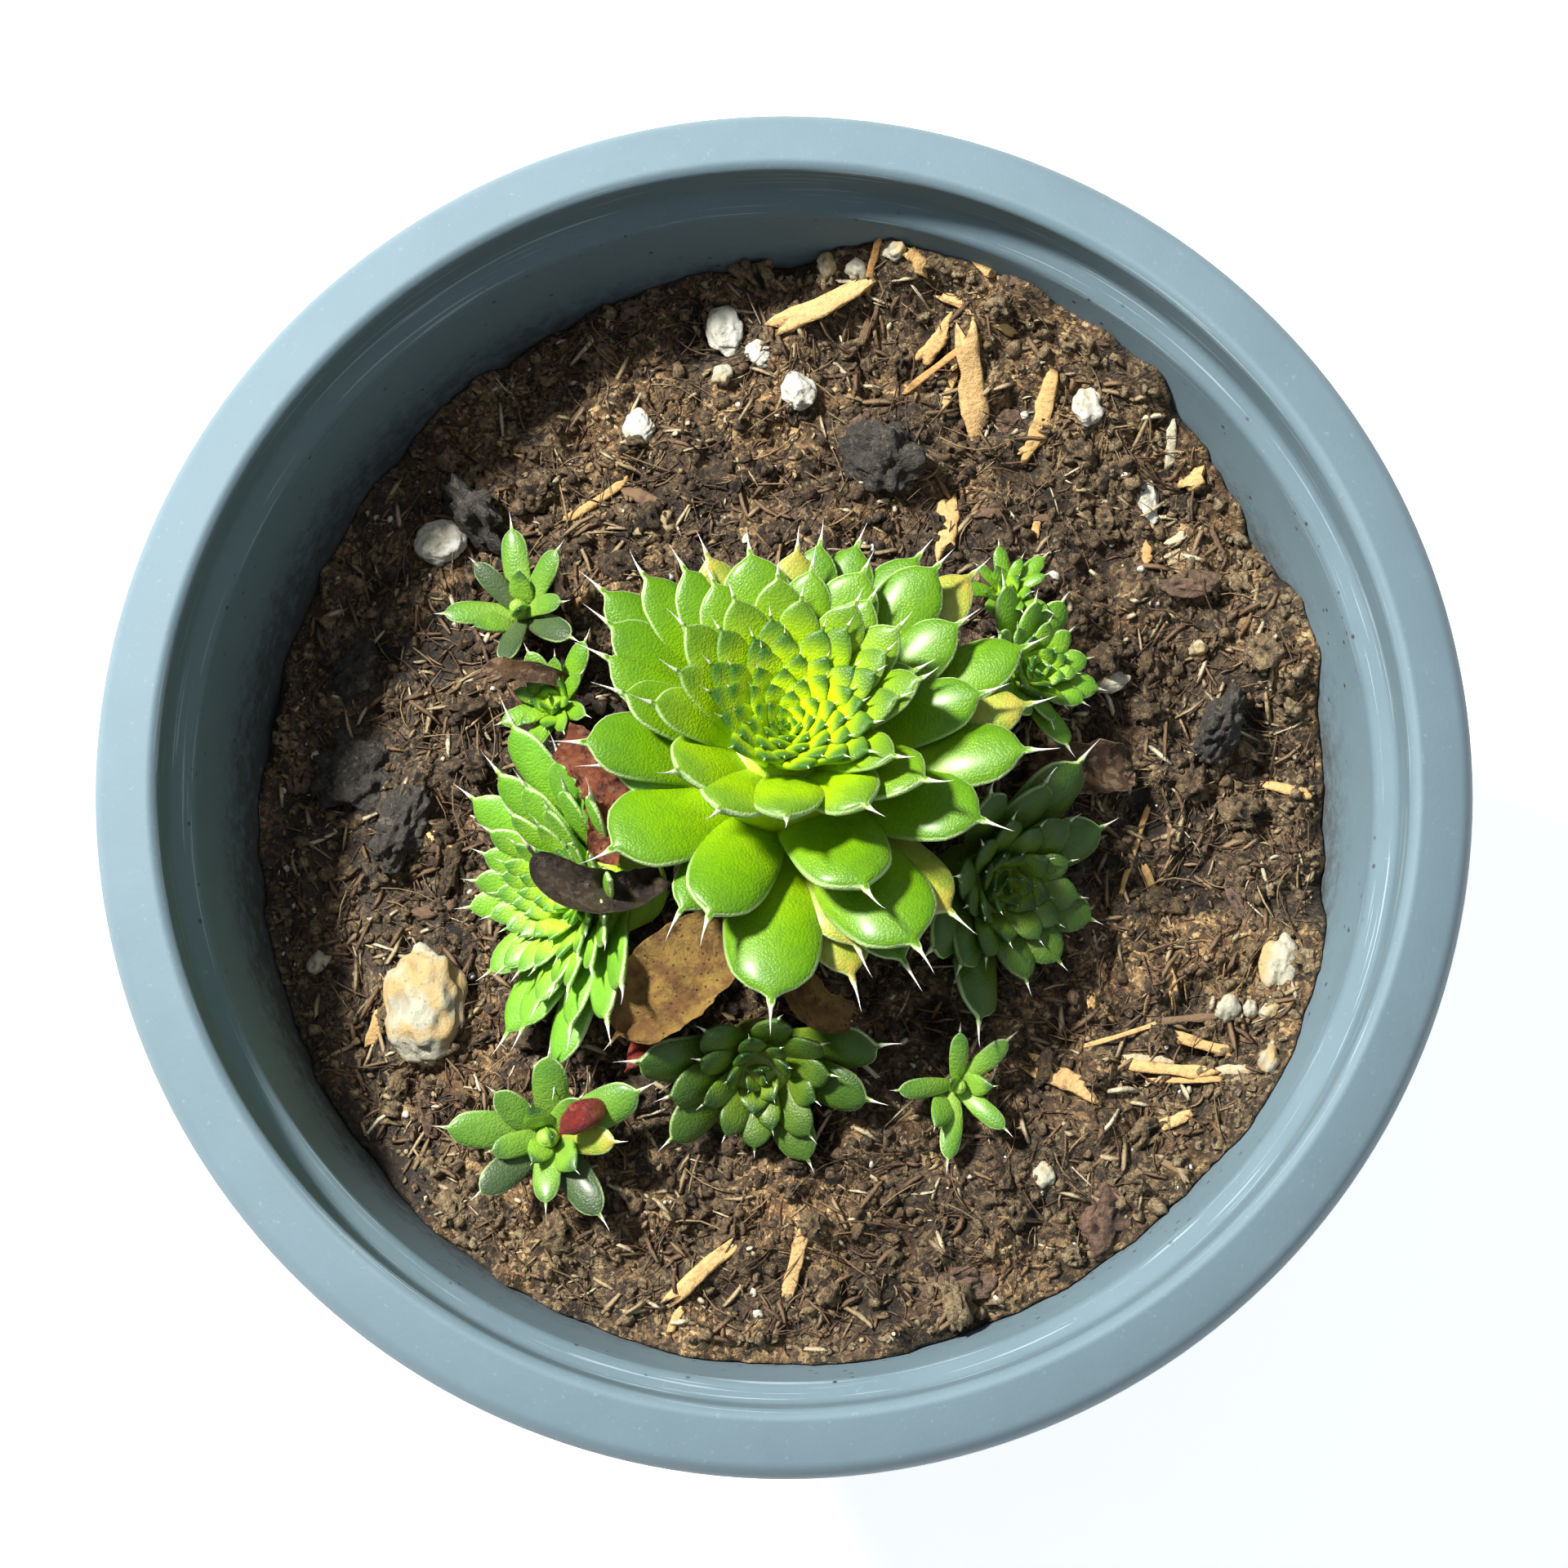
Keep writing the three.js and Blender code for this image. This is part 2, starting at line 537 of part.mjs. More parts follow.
// A withered leaf: a thin blade on a bent midline, its edges curled up.
function dryLeafSolid(dry, extra = 0) {
  const leaf = {
    line: new THREE.CubicBezierCurve3(...dry.path.map((point) => new THREE.Vector3(...point))),
    up: new THREE.Vector3(0, 0, 1),
    width: dry.width,
    cup: dry.curl,
    thickness: 0.7,
    spine: dry.spine,
    sharp: 0,
  };
  return leafSolid(leaf, { sides: 6, stations: [0.15, 0.4, 0.66, 0.86, 0.99] }, extra);
}

// Every piece in turn. What lies against an earlier piece is cut clear of it by the clearance.
addPiece("pot", potSolid(), 0x8fa3ad, 0.45);

let soil = soilSolid();
grains.forEach((grain, i) => {
  soil = soil.subtract(grainSolid(grain, i, clearance));
});
splinters.forEach((splinter) => {
  soil = soil.subtract(splinterSolid(splinter, clearance));
});
soil = largest(soil);
addPiece("soil", soil, 0x46332a, 0.95);

let taken = soilSolid(clearance);
Object.keys(rosettes).forEach((name, i) => {
  const body = largest(rosetteSolid(name).subtract(taken));
  addPiece(name, body, i === 0 ? 0x7fb81e : 0x6fa832, 0.35);
  taken = taken.add(rosetteSolid(name, clearance));
});
Object.entries(dryLeaves).forEach(([name, dry]) => {
  const body = largest(dryLeafSolid(dry).subtract(taken));
  addPiece(name, body, dry.color, 0.8);
  taken = taken.add(dryLeafSolid(dry, clearance));
});
grains.forEach((grain, i) => {
  addPiece(`stone_grain_${i + 1}`, grainSolid(grain, i), 0xe6e4da, 0.9);
});
splinters.forEach((splinter, i) => {
  addPiece(`wood_splinter_${i + 1}`, splinterSolid(splinter), 0xc9a066, 0.85);
});

export default model;
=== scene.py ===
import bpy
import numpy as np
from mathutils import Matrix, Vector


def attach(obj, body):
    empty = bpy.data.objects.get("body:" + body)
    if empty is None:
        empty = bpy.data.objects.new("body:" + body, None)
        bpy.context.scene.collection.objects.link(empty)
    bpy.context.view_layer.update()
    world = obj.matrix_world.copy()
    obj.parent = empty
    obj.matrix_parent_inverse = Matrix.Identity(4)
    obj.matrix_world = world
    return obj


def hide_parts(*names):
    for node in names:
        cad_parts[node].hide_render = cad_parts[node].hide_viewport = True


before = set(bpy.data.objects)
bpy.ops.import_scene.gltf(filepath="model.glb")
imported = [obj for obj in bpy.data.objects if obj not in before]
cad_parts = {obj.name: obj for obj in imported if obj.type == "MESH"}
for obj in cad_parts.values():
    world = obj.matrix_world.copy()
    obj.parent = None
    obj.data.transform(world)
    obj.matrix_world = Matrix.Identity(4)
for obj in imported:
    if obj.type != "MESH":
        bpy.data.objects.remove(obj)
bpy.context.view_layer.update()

# %% [markdown]
# # A spiny rosette succulent in its nursery pot
# The plant is a cluster: one large rosette, its offsets, and loose young shoots, in a plastic pot
# of dark peat. Everything on it is worked out in millimetres, as the pot would be measured with a
# ruler, and turned into metres where a mesh or a finish takes it over.

MM = 0.001

# %% [markdown]
# ## Repeatable chance
# No two leaves or crumbs are alike, yet the scene has to come out the same each time. Blender's
# random functions would need seeds in many places. A sine of a large multiple of the piece's
# number jumps about as a dice does, needs no state, and works on whole arrays.


# %% Repeatable chance
def draw(number, kind):
    """A draw between 0 and 1: the fraction of a large multiple of the sine of number and kind."""
    value = np.sin(np.asarray(number, float) * 12.9898 + kind * 78.233) * 43758.5453
    return value - np.floor(value)


def spread(number, kind, low, high):
    """A draw between low and high."""
    return low + (high - low) * draw(number, kind)


# %% [markdown]
# ## Noise on arrays
# Peat, grains and dead leaves are rough in a way that has no formula of its own. Smooth noise is
# the usual answer: random values on the corners of a grid of cells, blended across each cell.
# Several layers of it, each half the size and half the strength of the last, look like matter.


# %% Noise on arrays
def soft_noise(points, seed):
    """Between -1 and 1: draws at the eight corners of each unit cell, blended by smoothstep."""
    cell = np.floor(points)
    share = points - cell
    share = share * share * (3 - 2 * share)
    total = 0
    for corner in np.ndindex(2, 2, 2):
        at = cell + corner
        value = np.sin(at @ np.array([127.1, 311.7, 74.7]) + 53.3 * seed) * 43758.5453
        weight = np.prod(np.where(corner, share, 1 - share), axis=-1)
        total = total + weight * (value - np.floor(value))
    return 2 * total - 1


def layered_noise(points, layers, seed):
    """Sum of layers of soft noise, each twice as fine and half as strong as the last."""
    return sum(soft_noise(points * 2.0**k + 17.3 * k, seed + k) / 2.0**k for k in range(layers))


# %% [markdown]
# ## Skins and meshes
# Nearly every piece is a skin over rings of points with a pole at both ends: a leaf, a crumb, a
# straw, the pot. One function gives the triangles of such a skin, and one turns any number of
# skins into a single mesh object, with values per point that its finish can read.


# %% Skins and meshes
def skin_faces(rings, sides):
    """Triangles over a first pole, rings x sides points and a last pole, numbered in that order."""
    k = np.arange(sides)
    after = (k + 1) % sides
    first = np.stack([np.zeros_like(k), 1 + after, 1 + k], axis=1)
    base = 1 + sides * np.arange(rings - 1)[:, None]
    low, high = (base + k), (base + after)
    one = np.stack([low, high, high + sides], axis=-1).reshape(-1, 3)
    two = np.stack([low, high + sides, low + sides], axis=-1).reshape(-1, 3)
    end = 1 + sides * rings
    last = np.stack([np.full_like(k, end), end - sides + k, end - sides + after], axis=1)
    return np.concatenate([first, one, two, last])


def skin_batch(points, rings, sides):
    """Points (skins, 1 + rings x sides + 1, 3) and their triangles as one list of each."""
    count, size, _ = points.shape
    faces = skin_faces(rings, sides)
    faces = (faces[None] + size * np.arange(count)[:, None, None]).reshape(-1, 3)
    return points.reshape(-1, 3), faces


def joined(parts):
    """Several (points, faces, values) in one, with the faces renumbered."""
    points, faces, values, start = [], [], {}, 0
    for part_points, part_faces, part_values in parts:
        points.append(part_points)
        faces.append(part_faces + start)
        start += len(part_points)
        for name, value in part_values.items():
            values.setdefault(name, []).append(value)
    return (
        np.concatenate(points),
        np.concatenate(faces),
        {name: np.concatenate(value) for name, value in values.items()},
    )


def outward(points, faces):
    """The faces turned so that the volume they enclose comes out positive."""
    a, b, c = points[faces[:, 0]], points[faces[:, 1]], points[faces[:, 2]]
    volume = np.einsum("ij,ij->i", a, np.cross(b, c)).sum()
    return faces if volume > 0 else faces[:, ::-1]


def make_piece(name, points, faces, finish, nodes=(), values=None):
    """A mesh object at the origin, riding on the part, in place of the solids in `nodes`."""
    mesh = bpy.data.meshes.new(name)
    mesh.from_pydata(points * MM, [], faces)
    for key, value in (values or {}).items():
        layer = mesh.attributes.new(key, "FLOAT_COLOR", "POINT")
        layer.data.foreach_set("color", value.astype(np.float32).ravel())
    mesh.polygons.foreach_set("use_smooth", np.full(len(faces), True))
    mesh.materials.append(finish)
    mesh.update()
    piece = bpy.data.objects.new(name, mesh)
    bpy.context.scene.collection.objects.link(piece)
    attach(piece, "root")
    if nodes:
        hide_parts(*nodes)
    print(f"{name}: {len(points)} points, {len(faces)} triangles")
    return piece


# %% [markdown]
# ## Finishes as sums
# A finish is a small calculation: how green, how rough, how bumpy at this place. Wiring it by
# hand hides it, so a socket is wrapped in a class with +, -, * and **, and reads like arithmetic.
# Colours are mixed with Mix nodes, and every other node comes from one method.


# %% Finishes as sums
class Wire:
    """A node's output that can be added, subtracted, multiplied and raised to a power."""

    def __init__(self, finish, socket):
        self.finish, self.socket = finish, socket

    def math(self, operation, first, second):
        """A Math node on two outputs or numbers."""
        return self.finish.node("ShaderNodeMath", {"operation": operation}, {0: first, 1: second})

    def __add__(self, other):
        return self.math("ADD", self, other)

    def __sub__(self, other):
        return self.math("SUBTRACT", self, other)

    def __mul__(self, other):
        return self.math("MULTIPLY", self, other)

    def __pow__(self, other):
        return self.math("POWER", self, other)

    def __rsub__(self, other):
        return self.math("SUBTRACT", other, self)

    __radd__, __rmul__ = __add__, __mul__


class Finish:
    """A material whose nodes are made one at a time."""

    def __init__(self, name):
        self.material = bpy.data.materials.new(name)
        self.material.use_nodes = True
        self.tree = self.material.node_tree
        self.tree.nodes.clear()
        self.coordinates = None

    def node(self, kind, settings=None, sockets=None, out=0):
        """A node with its settings put first, then its sockets' values or links."""
        node = self.tree.nodes.new(kind)
        for name, value in (settings or {}).items():
            if name == "stops":
                ramp = node.color_ramp.elements
                while len(ramp) < len(value):
                    ramp.new(0.5)
                for stop, (place, color) in zip(ramp, value):
                    stop.position, stop.color = place, (*color, 1)
            else:
                setattr(node, name, value)
        for name, value in (sockets or {}).items():
            if isinstance(value, Wire):
                self.tree.links.new(value.socket, node.inputs[name])
            else:
                node.inputs[name].default_value = value
        return Wire(self, node.outputs[out]) if node.outputs else None

    def place(self):
        """Object coordinates, in metres from the middle of the pot's foot."""
        if self.coordinates is None:
            self.coordinates = self.node("ShaderNodeTexCoord", out="Object")
        return self.coordinates

    def noise(self, size, detail=2.0, rough=0.5):
        """Noise between 0 and 1 whose lumps are about `size` millimetres across."""
        sockets = {"Scale": 1 / (size * MM), "Detail": detail, "Roughness": rough}
        return self.node("ShaderNodeTexNoise", None, {"Vector": self.place(), **sockets})

    def cells(self, size):
        """Distance to the middle of the nearest of cells about `size` millimetres across."""
        sockets = {"Vector": self.place(), "Scale": 1 / (size * MM)}
        return self.node("ShaderNodeTexVoronoi", {"feature": "F1"}, sockets, out="Distance")

    def warped(self, size, amount):
        """Object coordinates pushed about by `amount` mm, in lumps about `size` mm across."""
        sockets = {"Vector": self.place(), "Scale": 1 / (size * MM), "Detail": 2.0}
        push = self.node("ShaderNodeTexNoise", None, sockets, out="Color")
        push = self.vector("SUBTRACT", push, (0.5, 0.5, 0.5))
        push = self.vector("MULTIPLY", push, (2 * amount * MM,) * 3)
        return self.vector("ADD", self.place(), push)

    def vector(self, operation, first, second):
        """A Vector Math node on two outputs or vectors."""
        return self.node("ShaderNodeVectorMath", {"operation": operation}, {0: first, 1: second})

    def motes(self, size, place):
        """A draw between 0 and 1 for each cell about `size` millimetres across."""
        sockets = {"Vector": place, "Scale": 1 / (size * MM)}
        tint = self.node("ShaderNodeTexVoronoi", None, sockets, out="Color")
        return self.node("ShaderNodeSeparateColor", None, {"Color": tint})

    def values(self, name):
        """The four values per point that a piece carries under this name."""
        carried = self.node("ShaderNodeAttribute", {"attribute_name": name}, out="Color")
        split = self.node("ShaderNodeSeparateColor", None, {"Color": carried})
        three = [Wire(self, split.socket.node.outputs[k]) for k in range(3)]
        return [*three, Wire(self, carried.socket.node.outputs["Alpha"])]

    def between(self, value, low, high):
        """0 below low, 1 above high, and a smooth step between."""
        settings = {"interpolation_type": "SMOOTHSTEP"}
        return self.node("ShaderNodeMapRange", settings, {0: value, 1: low, 2: high})

    def mix(self, share, first, second, blend="MIX"):
        """From the first color to the second by share."""
        first, second = (c if isinstance(c, Wire) else (*c, 1) for c in (first, second))
        settings = {"data_type": "RGBA", "blend_type": blend}
        return self.node("ShaderNodeMix", settings, {0: share, 6: first, 7: second}, out=2)

    def ramp(self, value, stops):
        """The color at value between stops of (place, color)."""
        return self.node("ShaderNodeValToRGB", {"stops": stops}, {0: value})

    def bump(self, height, depth, strength=1.0, under=None):
        """The surface's direction as if it stood up by height x depth millimetres."""
        sockets = {"Height": height, "Distance": depth * MM, "Strength": strength}
        if under:
            sockets["Normal"] = under
        return self.node("ShaderNodeBump", None, sockets)

    def done(self, **sockets):
        """The surface shader, its sockets named with _ for a space, and the finished material."""
        named = {name.replace("_", " "): value for name, value in sockets.items()}
        shader = self.node("ShaderNodeBsdfPrincipled", None, named)
        self.node("ShaderNodeOutputMaterial", None, {"Surface": shader})
        print(f"finish {self.material.name}: {len(self.tree.nodes)} nodes")
        return self.material


# %% [markdown]
# ## Camera, light and table
# The photo looks down into the pot, about 8.5 degrees off the vertical. Its focal length and
# distance were found by fitting the rim, the mouth and the ledge at once, because each lies at
# another height. The light comes from the upper left, steep enough to reach the soil.

# %% Camera and lights
POT_HEIGHT = 88.0
CAMERA_DISTANCE = 240.0
CAMERA_TILT = np.radians(8.5)
CAMERA_TARGET = np.array([0.0, -1.05, POT_HEIGHT])
FOCAL_PIXELS = 3900.0
PHOTO_PIXELS = 1920.0
SENSOR = 36.0


def aimed(thing, target):
    """Turns a camera or light at `thing` so that it looks at target, with +Y up in its view."""
    ahead = Vector(target) - Vector(thing.location)
    thing.rotation_euler = ahead.to_track_quat("-Z", "Y").to_euler()


camera_data = bpy.data.cameras.new("camera")
camera_data.sensor_width = SENSOR
camera_data.lens = FOCAL_PIXELS / PHOTO_PIXELS * SENSOR
camera_data.clip_start = 0.01
camera = bpy.data.objects.new("camera", camera_data)
offset = CAMERA_DISTANCE * np.array([0, -np.sin(CAMERA_TILT), np.cos(CAMERA_TILT)])
camera.location = (CAMERA_TARGET + offset) * MM
aimed(camera, CAMERA_TARGET * MM)
bpy.context.scene.collection.objects.link(camera)
bpy.context.scene.camera = camera
print("lens", round(camera_data.lens, 1), "mm, camera at", [round(v, 3) for v in camera.location])


def soft_light(name, direction, distance, size, power, color):
    """A square light at a distance in metres along a direction from the plant."""
    lamp = bpy.data.lights.new(name, "AREA")
    lamp.size, lamp.energy, lamp.color = size, power, color
    thing = bpy.data.objects.new(name, lamp)
    centre = Vector((0, 0, POT_HEIGHT * MM))
    thing.location = centre + Vector(direction).normalized() * distance
    aimed(thing, centre)
    bpy.context.scene.collection.objects.link(thing)


LIGHTS = {      # distance and size in metres, power in watts
    "key_light": dict(
        direction=(-0.52, 0.37, 0.79), distance=0.9, size=0.1, power=19.5, color=(1.0, 0.97, 0.9)
    ),
    "fill_light": dict(
        direction=(0.55, -0.75, 0.8), distance=1.2, size=0.9, power=1.3, color=(0.93, 0.97, 1.0)
    ),
    "top_light": dict(
        direction=(0.1, 0.2, 1.0), distance=1.2, size=0.8, power=1.4, color=(0.97, 0.98, 1.0)
    ),
}
for light_name, light in LIGHTS.items():
    soft_light(light_name, **light)
print("lights:", ", ".join(LIGHTS))

# %% [markdown]
# The photo's ground is plain white. Paper lit until it comes out white would need a lamp that
# washes out the plant. So the sheet glows a little by itself, and a weak sky fills the shadows.

# %% The room's light and the table
SKY_COLOR = (0.95, 0.98, 1.0, 1)
SKY_STRENGTH = 0.17
PAPER_GLOW = 0.75
world = bpy.data.worlds.new("studio")
world.use_nodes = True
background = world.node_tree.nodes["Background"].inputs
background["Color"].default_value = SKY_COLOR
background["Strength"].default_value = SKY_STRENGTH
bpy.context.scene.world = world
bpy.context.scene.view_settings.view_transform = "Standard"

table_finish = Finish("table_paper")
FLOOR_SIZE = 30000.0
corners = np.array([[-1, -1, 0], [1, -1, 0], [1, 1, 0], [-1, 1, 0]]) * FLOOR_SIZE / 2
table_mesh = bpy.data.meshes.new("table")
table_mesh.from_pydata(corners * MM, [], [(0, 1, 2, 3)])
grain = table_finish.noise(6, 3)
table_mesh.materials.append(
    table_finish.done(
        Base_Color=table_finish.mix(grain, (0.86, 0.87, 0.88), (0.9, 0.9, 0.9)),
        Roughness=0.9,
        Emission_Color=SKY_COLOR,
        Emission_Strength=PAPER_GLOW,
    )
)
table = bpy.data.objects.new("table", table_mesh)
bpy.context.scene.collection.objects.link(table)

# %% [markdown]
# ## The pot
# A nursery pot is one thin moulding: foot ring, tapered wall, collar, and a rim that slopes out
# and hangs down as a skirt. It is a profile turned about its axis. A bevel on a turned mesh would
# round every corner alike, so the profile's corners are rounded one by one before it is turned.

# %% The pot's sizes
RIM_RADIUS = 52.6
MOUTH_RADIUS = 47.6
SKIRT_DEPTH = 6.0
WALL = 1.1
LEDGE_RADIUS = 45.7
LEDGE_LEVEL = 82.0
FLOOR_RADIUS = 36.5
FLOOR_LEVEL = 4.0
FOOT_RADIUS = 37.6
FOOT_WIDTH = 2.0
FOOT_RECESS = 1.6
DRAIN_RADIUS = 3.2
DRAIN_CIRCLE = 22.0
DRAIN_COUNT = 4


def inside_radius(z):
    """Radius of the pot's inside wall at a height: it tapers evenly from the ledge to the floor."""
    share = (z - FLOOR_LEVEL) / (LEDGE_LEVEL - FLOOR_LEVEL)
    return FLOOR_RADIUS + (LEDGE_RADIUS - FLOOR_RADIUS) * share


def rounded(corners, steps=4):
    """A line through (radius, height, round) corners. Each corner is replaced by the curve
    start x (1-t)^2 + corner x 2t(1-t) + end x t^2, which begins and ends `round` away from it."""
    line = [corners[0][:2]]
    for before, here, after in zip(corners, corners[1:], corners[2:]):
        spot = np.array(here[:2])
        back, on = np.array(before[:2]) - spot, np.array(after[:2]) - spot
        start = spot + back / np.hypot(*back) * min(here[2], np.hypot(*back) / 2)
        end = spot + on / np.hypot(*on) * min(here[2], np.hypot(*on) / 2)
        for t in np.linspace(0, 1, steps + 1):
            line.append(start * (1 - t) ** 2 + spot * 2 * t * (1 - t) + end * t**2)
    line.append(corners[-1][:2])
    return np.array([[radius, height] for radius, height in line])


# %% The pot's profile
COLLAR = LEDGE_RADIUS + 2.4
SKIRT_BOTTOM = POT_HEIGHT - 1.6 - SKIRT_DEPTH
pot_corners = [
    (0, FOOT_RECESS, 0),
    (FOOT_RADIUS - FOOT_WIDTH - 0.3, FOOT_RECESS, 0.4),
    (FOOT_RADIUS - FOOT_WIDTH, 0, 0.3),
    (FOOT_RADIUS, 0, 0.8),
    (LEDGE_RADIUS + WALL, LEDGE_LEVEL - 2.5, 1.2),
    (COLLAR, LEDGE_LEVEL - 1, 0.8),
    (COLLAR, POT_HEIGHT - 3, 0.6),
    (RIM_RADIUS - WALL, POT_HEIGHT - 3.6, 0.6),
    (RIM_RADIUS - WALL, SKIRT_BOTTOM, 0.2),
    (RIM_RADIUS - 0.1, SKIRT_BOTTOM, 0.3),
    (RIM_RADIUS, POT_HEIGHT - 2.6, 1.0),
    (RIM_RADIUS - 0.9, POT_HEIGHT - 1.2, 0.5),
    (MOUTH_RADIUS + 0.4, POT_HEIGHT, 0.35),
    (MOUTH_RADIUS - 0.3, POT_HEIGHT - 0.6, 0.4),
    (LEDGE_RADIUS + 1.5, LEDGE_LEVEL + 1.5, 0.6),
    (LEDGE_RADIUS - 0.1, LEDGE_LEVEL - 0.2, 0.5),
    (FLOOR_RADIUS, FLOOR_LEVEL, 1.5),
    (0, FLOOR_LEVEL, 0),
]
pot_line = rounded(pot_corners)
print("pot profile:", len(pot_line), "points")


def turned(profile, sides):
    """A profile of [radius, height], its ends on the axis, turned: x = r cos t, y = r sin t."""
    turn = np.linspace(0, 2 * np.pi, sides, endpoint=False)
    radius, height = profile[1:-1, 0, None], profile[1:-1, 1, None]
    ring = [radius * np.cos(turn), radius * np.sin(turn), height + 0 * turn]
    rings = np.stack(ring, axis=-1).reshape(-1, 3)
    ends = [[[0, 0, profile[0, 1]]], rings, [[0, 0, profile[-1, 1]]]]
    points = np.concatenate(ends)
    return points, outward(points, skin_faces(len(profile) - 2, sides))


# %% [markdown]
# The plastic is blue-grey and satin, faintly mottled where the colour didn't mix, with pale scuffs,
# and with painted glints on the scratches that run round the ledge. The inside carries a film of
# soil that thickens towards the soil line. It ends at the tapered inner wall, so how far a place lies
# beyond that wall is worked out first, and the outside stays clean.

# %% The pot's finish
pot_finish = Finish("blue_grey_plastic")
place = pot_finish.node("ShaderNodeSeparateXYZ", None, {0: pot_finish.place()})
x, y, z = (Wire(pot_finish, place.socket.node.outputs[k]) for k in range(3))
radius = (x * x + y * y) ** 0.5 * (1 / MM)
level = z * (1 / MM)
mottle = pot_finish.noise(7, 3, 0.6)
scuffs = pot_finish.between(pot_finish.noise(0.5, 3, 0.65), 0.62, 0.74)
specks = 1 - pot_finish.between(pot_finish.cells(1.6), 0.08, 0.16)
taper = (LEDGE_RADIUS - FLOOR_RADIUS) / (LEDGE_LEVEL - FLOOR_LEVEL)
beyond_wall = radius - (level - FLOOR_LEVEL) * taper - FLOOR_RADIUS
above_floor = pot_finish.between(level, FLOOR_LEVEL - 1, FLOOR_LEVEL)
inside = above_floor * (1 - pot_finish.between(beyond_wall, 0.35, 0.8))
film = inside * (1 - pot_finish.between(level, 62, 84)) * pot_finish.noise(1.6, 4, 0.75)
dirt = pot_finish.between(film, 0.12, 0.5)
crumbs = inside * specks * pot_finish.between(pot_finish.noise(9, 2), 0.45, 0.6)
plastic = pot_finish.mix(mottle, (0.135, 0.205, 0.25), (0.17, 0.25, 0.305))
plastic = pot_finish.mix(scuffs * 0.25, plastic, (0.36, 0.44, 0.48))
around = pot_finish.node("ShaderNodeMath", {"operation": "ARCTAN2"}, {0: y, 1: x})
stretched = {0: around * 3, 1: radius * 4, 2: level * 4}
lengthwise = pot_finish.node("ShaderNodeCombineXYZ", None, stretched)
streak_sockets = {"Vector": lengthwise, "Scale": 1.0, "Detail": 3.0}
glint_noise = pot_finish.node("ShaderNodeTexNoise", None, streak_sockets)
past_ledge = pot_finish.between(radius, LEDGE_RADIUS + 1.7, LEDGE_RADIUS + 2.1)
on_ledge = pot_finish.between(radius, LEDGE_RADIUS - 0.4, LEDGE_RADIUS) * (1 - past_ledge)
on_ledge = on_ledge * pot_finish.between(level, LEDGE_LEVEL - 3, LEDGE_LEVEL - 1)
# painted glints: thin pale arcs round the ledge, where its scratches catch the light
painted_ledge_glints = pot_finish.between(glint_noise, 0.6, 0.68) * on_ledge
plastic = pot_finish.mix(painted_ledge_glints * 0.5, plastic, (0.5, 0.6, 0.66))
plastic = pot_finish.mix(dirt * 0.75, plastic, (0.05, 0.036, 0.026))
plastic = pot_finish.mix(crumbs * 0.85, plastic, (0.04, 0.028, 0.02))
sheen = 0.58 + mottle * 0.12 + dirt * 0.3 + scuffs * 0.1
fine = pot_finish.bump(pot_finish.noise(0.35, 2, 0.6), 0.03, 0.5)
pot_material = pot_finish.done(
    Base_Color=plastic, Roughness=sheen, Normal=fine, Specular_IOR_Level=0.32
)

# %% The pot's mesh
POT_SIDES = 200
DRAIN_SIDES = 40
CUT_LOW, CUT_HIGH = -1.0, FLOOR_LEVEL + 2      # the cutters reach past both faces of the floor
pot_points, pot_faces = turned(pot_line, POT_SIDES)
drain_line = np.array([[0, CUT_LOW], [DRAIN_RADIUS, CUT_LOW], [DRAIN_RADIUS, CUT_HIGH], [0, CUT_HIGH]])
drains = []
for number in range(DRAIN_COUNT):
    turn = 2 * np.pi * (number + 0.5) / DRAIN_COUNT
    drain_points, drain_faces = turned(drain_line, DRAIN_SIDES)
    at = [DRAIN_CIRCLE * np.cos(turn), DRAIN_CIRCLE * np.sin(turn), 0]
    drains.append((drain_points + at, drain_faces, {}))
drain_points, drain_faces, _ = joined(drains)
cutter_mesh = bpy.data.meshes.new("drains")
cutter_mesh.from_pydata(drain_points * MM, [], drain_faces)
cutter = bpy.data.objects.new("drains", cutter_mesh)
bpy.context.scene.collection.objects.link(cutter)
pot = make_piece("pot_shell", pot_points, pot_faces, pot_material, ["pot"])
cut = pot.modifiers.new("drains", "BOOLEAN")
cut.operation, cut.object, cut.solver = "DIFFERENCE", cutter, "EXACT"
bpy.context.view_layer.update()
pierced = bpy.data.meshes.new_from_object(pot.evaluated_get(bpy.context.evaluated_depsgraph_get()))
pot.modifiers.clear()
pot.data = pierced
bpy.data.objects.remove(cutter)
print("pot with drains:", len(pierced.polygons), "faces")

# %% [markdown]
# ## The ground
# Potting peat isn't flat. It stands high round the plant, sinks towards the left wall, and is all
# clods, crumbs and pits. The large shape is the same formula that the solids have, so stems and
# grains meet it. Noise adds the clods, and its absolute value gives the creases between crumbs.


# %% The ground's height
BANKS = ((62, 25, 7.0), (19, 8, 5.5), (335, 15, 5.0))     # turn, half width in degrees, rise


def soil_height(x, y):
    """73 mm, less 3.6 (r/45)^2, plus a slope that drops to the left and rises at the near and far
    sides, plus two sets of sine rolls, plus banks against the wall: rise x exp(-(turn/width)^4)
    x ((r-36)/9)^1.5."""
    across, deep = x / 45, y / 45
    out = np.hypot(across, deep)
    slope = 2.9 * across * out - 0.9 * deep * out - 3.5 * (across**2 - deep**2)
    rolls = 0.8 * np.sin(0.41 * x + 1.3) * np.cos(0.36 * y - 0.6)
    lumps = 0.6 * np.sin(0.83 * x - 0.5 * y + 2) * np.sin(0.7 * y + 0.4 * x)
    ramp = np.clip((45 * out - 36) / 9, 0, 1) ** 1.5
    turn = np.degrees(np.arctan2(y, x))
    banks = 0
    for centre, width, rise in BANKS:
        away = (turn - centre + 180) % 360 - 180
        banks = banks + rise * np.exp(-((away / width) ** 4))
    return 73 - 3.6 * out**2 + slope + rolls + lumps + banks * ramp


